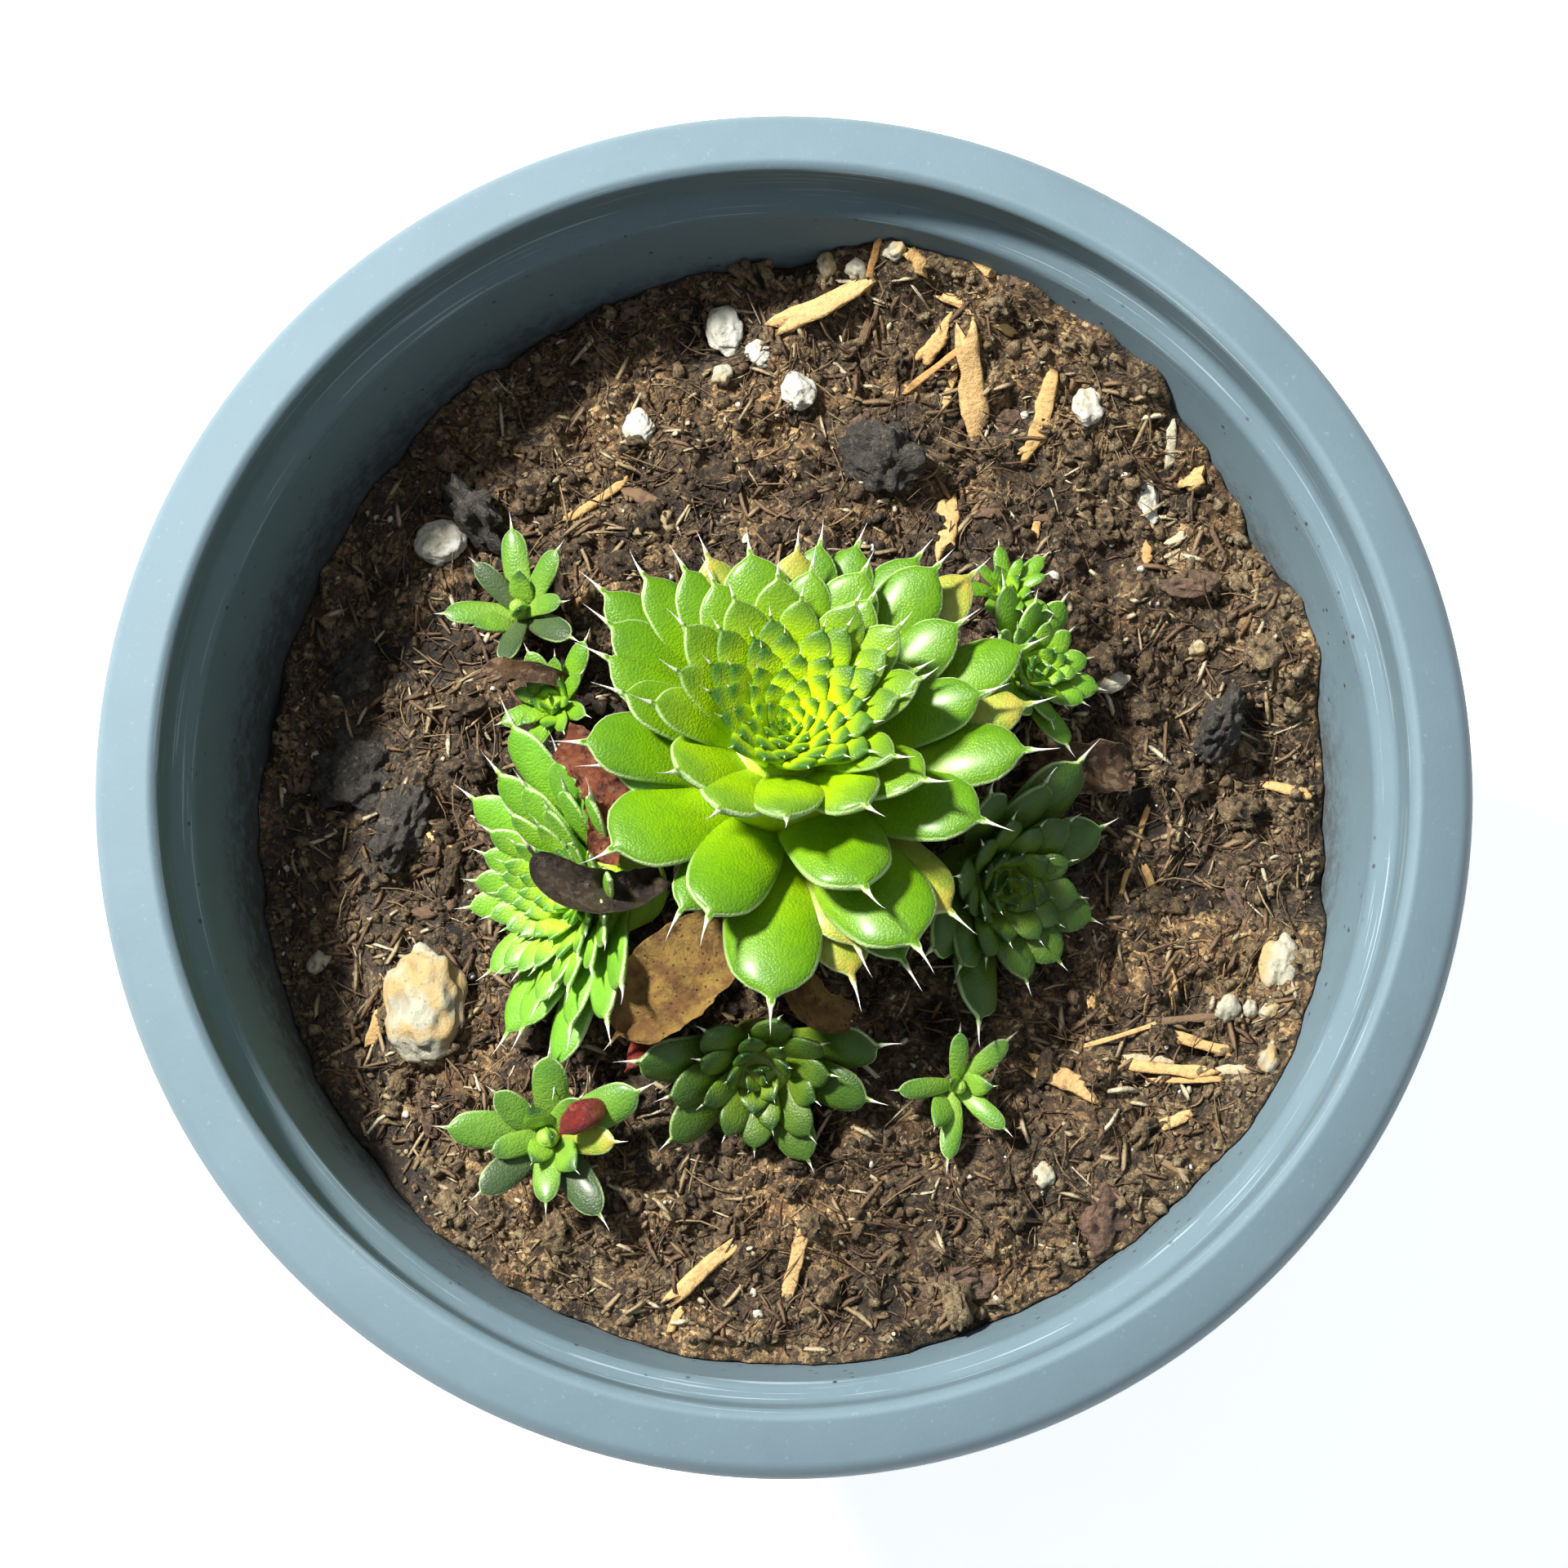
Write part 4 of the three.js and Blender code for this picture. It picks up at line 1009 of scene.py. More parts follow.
# %% The rosettes' meshes
LEAF_GRIDS = (      # reach from and to in mm, then blade rings, spine rings and sides
    (9, 99, (22, 5, 24)),
    (4, 9, (14, 4, 16)),
    (0, 4, (9, 3, 12)),
)
for rosette_name in ROSETTES:
    leaves = leaves_of(rosette_name)
    print(f"{rosette_name}: {len(leaves['reach'])} leaves, out to {leaves['reach'].max():.1f} mm")
    parts = core_skin(rosette_name)
    for low, high, grid in LEAF_GRIDS:
        chosen = (leaves["reach"] > low) & (leaves["reach"] <= high)
        if chosen.any():
            parts.append(leaf_skins({key: value[chosen] for key, value in leaves.items()}, *grid))
    points, faces, values = joined(parts)
    make_piece(
        f"{rosette_name}_leaves", points, faces, LEAF_FINISHES.get(rosette_name, offset_leaf),
        [rosette_name], values,
    )

# %% [markdown]
# ## Withered leaves
# Under the green ones hang leaves that have dried out: thin as paper, curled up at the edges,
# crumpled, and still carrying the spine. Cloth would sag, but a dead leaf is stiff. So each is a
# flat lens carried along a curve of four points, with its edges lifted and notched, a twist along
# it and noise for the crumples. Each replaces the plain solid that lies in the same place.

# %% Withered leaves' places
# path holds the four points of the curve, curl is how far the edges lift, twist is in radians from
# root to tip, and torn goes from 0, whole, to 1, ragged.
DRY_LEAVES = {
    "dry_leaf_dark": dict(
        path=[(-9, -7.2, 82), (-12, -9.9, 85.6), (-16, -9.9, 86.6), (-19.3, -5.6, 84.8)],
        width=3.5, curl=0.9, spine=2.2, twist=-0.3, torn=0,
    ),
    "dry_leaf_russet": dict(
        path=[(-13.8, -7.2, 85.4), (-12.8, -3.6, 85.8), (-13, 0.4, 86.6), (-17, 2.2, 86.2)],
        width=4.2, curl=0.5, spine=0.3, twist=0.5, torn=1,
    ),
    "dry_leaf_tan": dict(
        path=[(-3.6, -11, 81.6), (-5.5, -13, 84.4), (-9.3, -16, 84.4), (-13, -19.7, 80.8)],
        width=7, curl=0.3, spine=1.6, twist=0.2, torn=0,
    ),
    "dry_leaf_ochre": dict(
        path=[(0.4, -13.4, 81.4), (0.8, -16, 83.4), (2, -18, 83.2), (5, -18.4, 81.6)],
        width=3.4, curl=0.8, spine=0.4, twist=-0.2, torn=0.6,
    ),
    "dry_leaf_thin": dict(
        path=[(-16.5, 8.6, 76.5), (-18.5, 8.8, 81), (-21.5, 9.2, 80.6), (-24.2, 8.6, 79.4)],
        width=1.7, curl=0.9, spine=1.2, twist=1.2, torn=0,
    ),
    "dry_leaf_shade": dict(
        path=[(19.4, 2.2, 73.1), (22, 2, 75.6), (25.5, 2.2, 75), (28, 2.6, 72.2)],
        width=4.4, curl=0.5, spine=1, twist=0.2, torn=0.3,
    ),
    "red_leaf_upper": dict(
        path=[(-9.2, -18.2, 72.2), (-9.8, -18.8, 77.2), (-10.6, -20, 79.6), (-12, -21.8, 77.6)],
        width=2.4, curl=0.1, spine=0.4, twist=0.1, torn=0,
    ),
    "red_leaf_lower": dict(
        path=[(-14.2, -25, 76.6), (-14.8, -25, 79.6), (-15.8, -25.6, 80.4), (-17, -26.8, 79)],
        width=2.4, curl=0.1, spine=0.4, twist=0.1, torn=0,
    ),
}


# %% Withered leaves' skins
def dry_skin(dry, thick, seed):
    """A flat lens carried along p0 (1-a)^3 + 3 p1 a (1-a)^2 + 3 p2 a^2 (1-a) + p3 a^3. Its edges
    lift by curl x cos^2 and are notched by noise, it turns by twist x a, and two noises crumple it:
    smooth swells, and folds as the absolute value of a finer one."""
    blade_rings, spine_rings, sides = 46, 8, 48
    p0, p1, p2, p3 = np.array(dry["path"], float)
    blade = np.sin(np.pi / 2 * np.linspace(0.03, 1, blade_rings))
    a = np.concatenate([blade, 1 + np.linspace(0.1, 0.95, spine_rings)])
    along, beyond = np.minimum(a, 1)[:, None], np.maximum(a - 1, 0)[:, None]
    left = 1 - along
    spot = p0 * left**3 + 3 * p1 * along * left**2 + 3 * p2 * along**2 * left + p3 * along**3
    heading = unit((p1 - p0) * left**2 + 2 * (p2 - p1) * along * left + (p3 - p2) * along**2)
    side = unit(np.cross([0, 0, 1.0], heading))
    up = np.cross(heading, side)
    roll = dry["twist"] * (along - 0.4)
    side, up = side * np.cos(roll) + up * np.sin(roll), up * np.cos(roll) - side * np.sin(roll)
    spot = spot + heading * dry["spine"] * beyond
    t = 2 * np.pi * np.arange(sides) / sides
    point = 0.16 * (1 - beyond)
    shape = outline(along * (1 - 0.12 * dry["torn"])) * (1 - 0.3 * (1 - dry["torn"]) * along**6)
    length = np.linalg.norm(p3 - p0)
    none = 0 * (along + t)
    flat = np.stack([np.cos(t) * dry["width"] / 2 + none, along * length + none, none], -1)
    flat = flat + 9.1 * seed
    ragged = np.abs(layered_noise(flat * 0.8, 3, seed + 5))
    notch = 1 - (0.1 + 0.25 * dry["torn"]) * np.abs(np.cos(t)) * ragged
    half = np.where(beyond > 0, point, np.maximum(dry["width"] / 2 * shape, 0.16) * notch)
    deep = np.where(beyond > 0, point, thick / 2)
    across, lens = np.cos(t) * half, np.sin(t) * deep
    swell = 0.5 * layered_noise(flat * 0.45, 2, seed)
    folds = 0.36 * (0.4 - np.abs(layered_noise(flat * 1.1, 2, seed + 9)))
    crumple = (swell + folds) * np.minimum(half, 1) * (1.2 - thick / 2)
    lift = (dry["curl"] * np.cos(t) ** 2 * half + crumple) * (beyond <= 0)
    points = spot[:, None] + side[:, None] * across[..., None] + up[:, None] * (lens + lift)[..., None]
    ends = spot[:1] - heading[:1] * 0.1, spot[-1:] + heading[-1:] * 0.05 * dry["spine"]
    points = np.concatenate([ends[0], points.reshape(-1, 3), ends[1]])
    edge = np.abs(np.cos(t)) ** 6 + none
    values = np.stack([along + none, edge, beyond + none, 0.5 + 0.5 * np.sin(t) + none], -1)
    values = np.concatenate([[[0, 0, 0, 0]], values.reshape(-1, 4), [[1, 1, 1, 0.5]]])
    faces = skin_faces(blade_rings + spine_rings, sides)
    return points, outward(points, faces), {"blade": values}


# %% [markdown]
# A dead leaf isn't one brown. It is gold where it dried fast, red-brown where it rotted, speckled
# with black dots, pale along its brittle edge, and bone-white at the spine.


# %% Withered leaves' finish
def dry_finish(name, base, blotch, edge_color, gloss):
    """The finish of a withered leaf: its base color, its blotches and its brittle edge."""
    finish = Finish(name)
    along, edge, beyond, _ = finish.values("blade")
    warp = finish.warped(1.2, 0.4)
    rot = finish.between(finish.noise(1.8, 6, 0.7), 0.4, 0.62)
    color = finish.mix(rot, base, blotch)
    color = finish.mix(finish.between(along, 0.6, 1.0) * 0.6, color, blotch)
    flakes = finish.motes(0.45, warp)
    color = finish.mix(finish.between(flakes, 0.6, 0.9) * 0.35, color, edge_color)
    dots = 1 - finish.between(finish.cells(0.6), 0.12, 0.22)
    color = finish.mix(dots * 0.85, color, tuple(0.15 * c for c in blotch))
    brittle = finish.between(edge, 0.72, 0.98) * finish.between(finish.noise(0.9, 3), 0.4, 0.55)
    color = finish.mix(brittle * 0.8, color, edge_color)
    color = finish.mix(finish.between(beyond, 0.05, 0.3), color, (0.6, 0.54, 0.42))
    wrinkles = finish.bump(finish.noise(0.5, 6, 0.75) + flakes * 0.25, 0.35, 1.0)
    return finish.done(Base_Color=color, Roughness=gloss + rot * 0.15, Normal=wrinkles)


dark_dry = dry_finish(
    "withered_dark", (0.05, 0.035, 0.018), (0.018, 0.013, 0.01), (0.14, 0.1, 0.07), 0.28
)
russet_dry = dry_finish(
    "withered_russet", (0.36, 0.1, 0.035), (0.12, 0.032, 0.016), (0.45, 0.22, 0.12), 0.28
)
tan_dry = dry_finish("withered_tan", (0.34, 0.22, 0.05), (0.15, 0.07, 0.02), (0.26, 0.11, 0.035), 0.42)
thin_dry = dry_finish("withered_thin", (0.16, 0.085, 0.035), (0.06, 0.03, 0.016), (0.4, 0.3, 0.18), 0.6)
red_dry = dry_finish("withered_red", (0.34, 0.03, 0.02), (0.15, 0.016, 0.012), (0.5, 0.16, 0.1), 0.3)
DRY_FINISHES = {
    "dry_leaf_dark": dark_dry, "dry_leaf_russet": russet_dry, "dry_leaf_tan": tan_dry,
    "dry_leaf_ochre": tan_dry, "dry_leaf_thin": thin_dry, "dry_leaf_shade": thin_dry,
    "red_leaf_upper": red_dry, "red_leaf_lower": red_dry,
}

# %% Withered leaves' meshes
FLESHY, PAPERY = 1.6, 0.3      # thickness in mm of a red leaf that still holds sap, and of a dry one
for number, (name, dry) in enumerate(DRY_LEAVES.items()):
    thick = FLESHY if name.startswith("red") else PAPERY
    points, faces, values = dry_skin(dry, thick, 60 + number)
    make_piece(f"{name}_blade", points, faces, DRY_FINISHES[name], [name], values)


# %% [markdown]
# ## Lumps
# Perlite grains, clods and crumbs are all lumps: a ball squeezed along three axes, turned at
# random, with noise pushing its surface in and out. Hundreds can be worked out in one array, as
# long as each has few faces.


# %% Lumps
def any_turns(count, seed):
    """Turns spread over all directions: unit quaternions from four draws each, as matrices."""
    number = np.arange(count)
    w, x, y, z = unit(np.stack([draw(number, seed + k) - 0.5 for k in range(4)], axis=-1)).T
    rows = [
        1 - 2 * (y * y + z * z), 2 * (x * y - z * w), 2 * (x * z + y * w),
        2 * (x * y + z * w), 1 - 2 * (x * x + z * z), 2 * (y * z - x * w),
        2 * (x * z - y * w), 2 * (y * z + x * w), 1 - 2 * (x * x + y * y),
    ]
    return np.stack(rows, axis=-1).reshape(-1, 3, 3)


def flat_turns(degrees):
    """Turns about the upright axis, as matrices."""
    turn = np.radians(np.asarray(degrees, float))
    c, s, o = np.cos(turn), np.sin(turn), 0 * turn
    return np.stack([c, -s, o, s, c, o, o, o, o + 1], axis=-1).reshape(-1, 3, 3)


def lump_skins(centres, halves, turns, rings, sides, rough, fine, seed):
    """Balls (sin v cos u, sin v sin u, cos v) x half sizes x (1 + rough x noise), then turned."""
    v = np.pi * np.arange(1, rings + 1)[:, None] / (rings + 1)
    u = 2 * np.pi * np.arange(sides) / sides
    ball = np.stack([np.sin(v) * np.cos(u), np.sin(v) * np.sin(u), np.cos(v) + 0 * u], axis=-1)
    ball = np.concatenate([[[0, 0, 1]], ball.reshape(-1, 3), [[0, 0, -1]]])
    apart = 7.7 * np.arange(len(centres))[:, None, None]
    knobs = layered_noise(ball * fine + apart, 3, seed)[..., None]
    points = ball * (1 + rough * knobs) * halves[:, None]
    points = np.einsum("nij,npj->npi", turns, points) + centres[:, None]
    flat, faces = skin_batch(points, rings, sides)
    share = np.repeat(draw(np.arange(len(centres)), seed)[:, None], points.shape[1], axis=1)
    knobs = np.broadcast_to(knobs[..., 0] / 2 + 0.5, share.shape)
    values = np.stack([share, knobs, share, knobs], axis=-1).reshape(-1, 4)
    return flat, outward(flat, faces), {"lump": values}


# %% [markdown]
# ## White grains
# Perlite is volcanic glass popped like corn. It is white, knobbly and full of pits, with painted
# shade in its hollows and pits, and stained cream where it lay in the peat. Each of the ten larger
# grains replaces its plain solid.

# %% White grains
# Rows of x, y, width and depth in mm, and the turn in degrees.
GRAINS = np.array([
    [-4.8, 39.0, 2.9, 4.1, 5], [-2.0, 36.8, 2.0, 2.3, 40], [1.2, 33.4, 2.6, 3.2, 20],
    [-11.9, 30.9, 2.6, 3.2, 0], [24.7, 31.9, 2.4, 3.1, 10], [29.5, 25.2, 2.0, 4.4, 8],
    [-28.3, 21.7, 4.2, 3.6, 20], [-28.8, -16.2, 6.4, 8.8, 6], [39.4, -13.4, 3.0, 4.8, 350],
    [26.4, 9.7, 2.9, 1.8, 15],
])
GRAIN_SUNK = 0.28
CREAM_GRAINS = (8, 9, 10)
GRAIN_SHAPE = dict(rings=36, sides=48, rough=0.2, fine=1.9)


def grain_finish(name, stone, stain):
    """Pale stone with painted shade in its hollows and pits, and a stain of this color over parts of it.
    """
    finish = Finish(name)
    knob = finish.values("lump")[1]
    pit_shade = 1 - finish.between(finish.cells(0.7), 0.1, 0.26)
    color = finish.mix(finish.between(finish.noise(2.6, 3), 0.42, 0.6), stone, stain)
    # painted shade: the grain's sunken parts and its pits are darkened to brown
    color = finish.mix((1 - finish.between(knob, 0.2, 0.45)) * 0.5, color, (0.3, 0.27, 0.2))
    color = finish.mix(pit_shade * 0.55, color, (0.22, 0.19, 0.13))
    relief = finish.bump(finish.noise(0.4, 5, 0.7), 0.3, 0.7)
    return finish.done(
        Base_Color=color, Roughness=0.85 - knob * 0.1, Normal=relief, Subsurface_Weight=0.1,
        Subsurface_Radius=(1.0, 0.9, 0.8), Subsurface_Scale=0.6 * MM,
    )


white_stone = grain_finish("white_perlite", (0.66, 0.67, 0.62), (0.55, 0.54, 0.45))
cream_stone = grain_finish("cream_perlite", (0.5, 0.48, 0.38), (0.52, 0.38, 0.18))
for number, (x, y, wide, deep, turn) in enumerate(GRAINS, 1):
    tall = 0.7 * min(wide, deep)
    centre = np.array([[x, y, soil_height(x, y) + tall * (0.5 - GRAIN_SUNK)]])
    half = np.array([[wide, deep, tall]]) / 2
    finish = cream_stone if number in CREAM_GRAINS else white_stone
    points, faces, values = lump_skins(centre, half, flat_turns([turn]), **GRAIN_SHAPE, seed=70 + number)
    node = f"stone_grain_{number}"
    make_piece(f"grain_{number}", points, faces, finish, [node], values)


# %% [markdown]
# ## Slivers
# Splinters, wood chips and straw are all flat strips that bow, fray and split at the ends. One
# function carries a flat section along a bow for as many strips as there are, and its ragged edges
# and split ends come from noise.


# %% Slivers
def sliver_skins(start, knee, end, half, deep, rings, sides, ragged, seed):
    """Flat sections, half wide and deep thick, on start (1-a)^2 + knee 2a(1-a) + end a^2. A section
    is (|cos t|^0.6, |sin t|^0.6) with their signs, so nearly square. Noise frays its edges, and near
    both ends it shifts the points along the strip, which splits them."""
    count = len(start)
    a = np.linspace(0, 1, rings)[None, :, None]
    spot = start[:, None] * (1 - a) ** 2 + knee[:, None] * 2 * a * (1 - a) + end[:, None] * a**2
    heading = unit(knee[:, None] * (1 - 2 * a) + start[:, None] * (a - 1) + end[:, None] * a)
    side = unit(np.cross([0, 0, 1.0], heading))
    up = np.cross(heading, side)
    t = (2 * np.pi * np.arange(sides) / sides)[None, None]
    apart = 5.3 * np.arange(count)[:, None, None]
    none = 0 * (a + t + apart)
    fray = np.stack([a * 4.5 + apart + none, np.cos(t) * 1.2 + apart + none, np.sin(t) + apart + none], -1)
    fray = 1 + ragged * layered_noise(fray, 2, seed)
    body = 1 - 0.25 * np.abs(2 * a - 1) ** 12
    across = np.sign(np.cos(t)) * np.abs(np.cos(t)) ** 0.6 * half[:, None, None] * body * fray
    rise = np.sign(np.sin(t)) * np.abs(np.sin(t)) ** 0.6 * deep[:, None, None] * body * fray
    points = spot[:, :, None] + side[:, :, None] * across[..., None] + up[:, :, None] * rise[..., None]
    splits = np.stack([np.cos(t) * 2.2 + apart + none, apart + none, 3 * np.sign(a - 0.5) + none], -1)
    splits = soft_noise(splits, seed) * np.abs(2 * a - 1) ** 4 * half[:, None, None] * 2.2
    points = points + heading[:, :, None] * splits[..., None]
    points = np.concatenate([spot[:, :1], points.reshape(count, -1, 3), spot[:, -1:]], axis=1)
    flat, faces = skin_batch(points, rings, sides)
    share = np.repeat(draw(np.arange(count), seed)[:, None], points.shape[1], axis=1)
    length = np.concatenate([0 * t[:, :1, 0], (a + 0 * t).reshape(1, -1), 0 * t[:, :1, 0] + 1], axis=1)
    length = np.broadcast_to(length, share.shape)
    values = np.stack([share, length, share, length], axis=-1).reshape(-1, 4)
    return flat, outward(flat, faces), {"strip": values}


# %% [markdown]
# Fresh wood is straw-yellow, with fine brown mottling, and darker where peat clings to it.


# %% Wood's finish
def wood_finish(name, stops):
    """Wood in several tones, one per strip, with brown mottling and dirt."""
    finish = Finish(name)
    share = finish.values("strip")[0]
    color = finish.ramp(share, stops)
    mottling = finish.noise(0.35, 3, 0.7)
    color = finish.mix(finish.between(mottling, 0.45, 0.7) * 0.45, color, (0.26, 0.12, 0.045))
    dirt = finish.between(finish.noise(1.6, 4, 0.7), 0.55, 0.72)
    color = finish.mix(dirt * 0.6, color, (0.06, 0.035, 0.02))
    relief = finish.bump(mottling, 0.25, 0.7)
    return finish.done(Base_Color=color, Roughness=0.7 + dirt * 0.2, Normal=relief)


fresh_wood = wood_finish(
    "fresh_wood", [(0.0, (0.62, 0.39, 0.15)), (0.5, (0.66, 0.44, 0.19)), (1.0, (0.55, 0.3, 0.1))]
)
STRAW_TONES = [
    (0.0, (0.6, 0.55, 0.4)), (0.2, (0.42, 0.34, 0.2)),
    (0.5, (0.2, 0.13, 0.07)), (1.0, (0.09, 0.055, 0.035)),
]
straw = wood_finish("straw", STRAW_TONES)

# %% Wood splinters
SPLINTERS = np.array([
    [13.2, 22.4, 4.8, 1.8, 84], [3.3, 40.3, 8.2, 1.7, 24], [15.3, 33.8, 6.8, 2.0, 98],
    [21.0, 31.3, 5.4, 1.5, 74], [21.9, -22.3, 4.0, 1.6, 155], [-6.4, -37.4, 6.0, 1.2, 42],
    [1.0, -36.3, 5.6, 1.1, 76], [-30.4, -3.1, 4.2, 1.2, 12],
])
SPLINTER_SHAPE = dict(bow=0.02, lift=0.1, rings=26, sides=14, thick=0.35, ragged=0.26)


def strips(table, bow, lift, rings, sides, thick, ragged, seed):
    """Slivers from rows of [x, y, length, width, turn], laid along the ground."""
    x, y, length, width, turn = table.T
    number = np.arange(len(table))
    dx, dy = length / 2 * np.cos(np.radians(turn)), length / 2 * np.sin(np.radians(turn))
    bend = spread(number, seed, -bow, bow) * length
    mid_x, mid_y = x - dy / length * bend, y + dx / length * bend
    start = np.stack([x - dx, y - dy, soil_height(x - dx, y - dy)], axis=-1)
    end = np.stack([x + dx, y + dy, soil_height(x + dx, y + dy)], axis=-1)
    level = np.maximum(lie_on(x, y), (lie_on(x - dx, y - dy) + lie_on(x + dx, y + dy)) / 2)
    knee = np.stack([mid_x, mid_y, level], axis=-1)
    start[:, 2], end[:, 2] = lie_on(start[:, 0], start[:, 1]), lie_on(end[:, 0], end[:, 1])
    rise = np.array([0, 0, 1.0]) * (lift + thick * width[:, None] / 2)
    start, knee, end = start + rise, knee + rise, end + rise
    return sliver_skins(start, knee, end, width / 2, thick * width / 2, rings, sides, ragged, seed)


for number, splinter in enumerate(SPLINTERS, 1):
    points, faces, values = strips(splinter[None], **SPLINTER_SHAPE, seed=80 + number)
    values["strip"][:, 0] = draw(number, 9)
    node = f"wood_splinter_{number}"
    make_piece(f"splinter_{number}", points, faces, fresh_wood, [node], values)

# %% [markdown]
# ## Chips, straws and crumbs
# The mix is full of small matter that isn't worth a solid: flakes of bark, chips, bleached straw,
# fibres of peat and crumbs of perlite. The ones that stand out in the photo are placed one by one,
# the bark as flat lumps and the chips as slivers. The rest is strewn evenly by draws.

# %% Chips that stand out
PALE_CHIPS = np.array([
    [16.8, 23.4, 2.4, 0.9, 178], [20.9, 23.3, 3.1, 0.6, 179], [31.4, 29.0, 3.3, 0.8, 91],
    [35.5, 21.3, 2.6, 0.5, 116], [32.2, -17.6, 4.6, 0.6, 5], [35.5, -21.7, 2.4, 0.9, 0],
    [30.4, -29.2, 2.8, 0.5, 151], [31.2, -29.7, 1.6, 0.5, 117], [31.9, 21.5, 1.5, 0.7, 32],
    [31.9, 19.9, 1.5, 0.7, 18], [-11.7, 25.2, 2.6, 1.1, 149], [-28.2, -8.5, 3.7, 1.1, 12],
    [-10.5, 22.5, 3.0, 1.8, 30], [29.2, -20.9, 3.6, 0.8, 172], [6.6, 38.6, 2.2, 0.6, 75],
])
TAN_CHIPS = np.array([
    [10.5, 42.9, 2.6, 1.2, 139], [15.5, 42.8, 3.9, 0.9, 136], [15.7, 39.2, 6.6, 0.9, 153],
    [12.6, 35.3, 7.1, 0.5, 34], [12.3, 37.2, 3.0, 1.3, 48], [13.5, 33.9, 3.5, 0.7, 76],
    [33.5, 26.4, 2.0, 1.3, 38], [20.6, 22.5, 1.7, 0.7, 84], [29.5, 20.2, 1.3, 0.8, 88],
    [-33.0, -18.1, 3.0, 1.1, 62], [30.9, -14.9, 2.5, 0.8, 102], [24.5, -16.1, 1.2, 0.7, 89],
    [33.3, -19.6, 4.2, 0.9, 163], [30.6, -21.6, 7.0, 1.0, 173], [31.8, -22.4, 5.5, 0.5, 179],
    [30.9, -25.6, 2.4, 0.9, 21], [-28.9, -2.2, 5.6, 0.5, 150], [-15.4, 25.0, 6.5, 0.7, 35],
    [41.0, 1.3, 4.0, 0.8, 165], [-22.5, 29.5, 2.4, 0.7, 146], [7.2, 43.0, 3.5, 0.6, 73],
    [20.0, 29.0, 1.6, 0.6, 20], [26.8, -18.8, 6.6, 0.4, 17], [1.1, -36.3, 7.9, 0.4, 74],
    [28.2, -3.9, 7.5, 0.5, 71], [29.6, -7.1, 4.1, 0.7, 108], [-8.4, -41.0, 2.1, 0.6, 63],
])
BARK_CHIPS = np.array([
    [25.4, -33.2, 5.5, 3.4, 68], [13.4, -38.6, 5.3, 2.6, 14], [18.4, 31.3, 2.6, 1.9, 32],
    [33.0, 17.7, 4.9, 2.0, 4], [-28.7, -24.6, 4.6, 1.5, 104], [-40.0, 2.8, 2.4, 1.8, 80],
    [-12.2, 40.8, 2.6, 1.6, 175], [19.0, 42.0, 3.0, 1.7, 40], [6.0, 30.5, 2.4, 1.6, 60],
    [36.5, -8.5, 3.2, 1.0, 120], [9.5, 26.5, 2.4, 1.2, 15],
])
bark_finish = Finish("bark")
bark_share, bark_knob, _, _ = bark_finish.values("lump")
cork = bark_finish.noise(0.7, 6, 0.75)
corky = bark_finish.between(cork, 0.4, 0.62)
bark_color = bark_finish.mix(corky, (0.09, 0.055, 0.04), (0.25, 0.15, 0.1))
bark_color = bark_finish.mix(bark_share * 0.35, bark_color, (0.34, 0.24, 0.16))
# painted shade: the flakes' sunken parts go nearly black
bark_hollow_shade = 1 - bark_finish.between(bark_knob, 0.2, 0.5)
bark_color = bark_finish.mix(bark_hollow_shade, bark_color, (0.02, 0.012, 0.009))
bark_relief = bark_finish.bump(cork, 0.6, 1.0)
bark = bark_finish.done(Base_Color=bark_color, Roughness=0.85, Normal=bark_relief)


def strew(name, skins, finish):
    """One object from (points, faces, values)."""
    points, faces, values = skins
    return make_piece(name, points, faces, finish, (), values)


CHIP_SHAPE = dict(bow=0.06, lift=0.12, rings=14, sides=10, thick=0.4, ragged=0.35)
strew("tan_chips", strips(TAN_CHIPS, **CHIP_SHAPE, seed=90), fresh_wood)
strew("pale_chips", strips(PALE_CHIPS, **CHIP_SHAPE, seed=91), straw)
x, y, length, width, turn = BARK_CHIPS.T
flake_sizes = np.stack([length / 2, width / 2, 0.28 * width], axis=-1)
flake_places = np.stack([x, y, lie_on(x, y) + 0.1], axis=-1)
FLAKE_SHAPE = dict(rings=22, sides=28, rough=0.42, fine=2.4)
flakes = lump_skins(flake_places, flake_sizes, flat_turns(turn), **FLAKE_SHAPE, seed=92)
strew("bark_chips", flakes, bark)


# %% [markdown]
# ## Strewn matter
# Thousands of straws, fibres and crumbs can't be placed by hand. Their places are draws, spread
# evenly by taking the root of a draw as the radius, and each lies on the visible ground there.
# Instances would be lighter, but plain meshes are kept by every export.


# %% Strewn places
def strewn(count, seed, reach=0.985):
    """Places spread evenly over the ground: radius as the root of a draw, turn as another."""
    number = np.arange(count)
    turn = 2 * np.pi * draw(number, seed + 1)
    radius = wall_line(turn) * reach * np.sqrt(draw(number, seed))
    return radius * np.cos(turn), radius * np.sin(turn), number


def resting(x, y, lift):
    """Points on the visible ground, raised by lift."""
    return np.stack([x, y, lie_on(x, y) + lift], axis=-1)


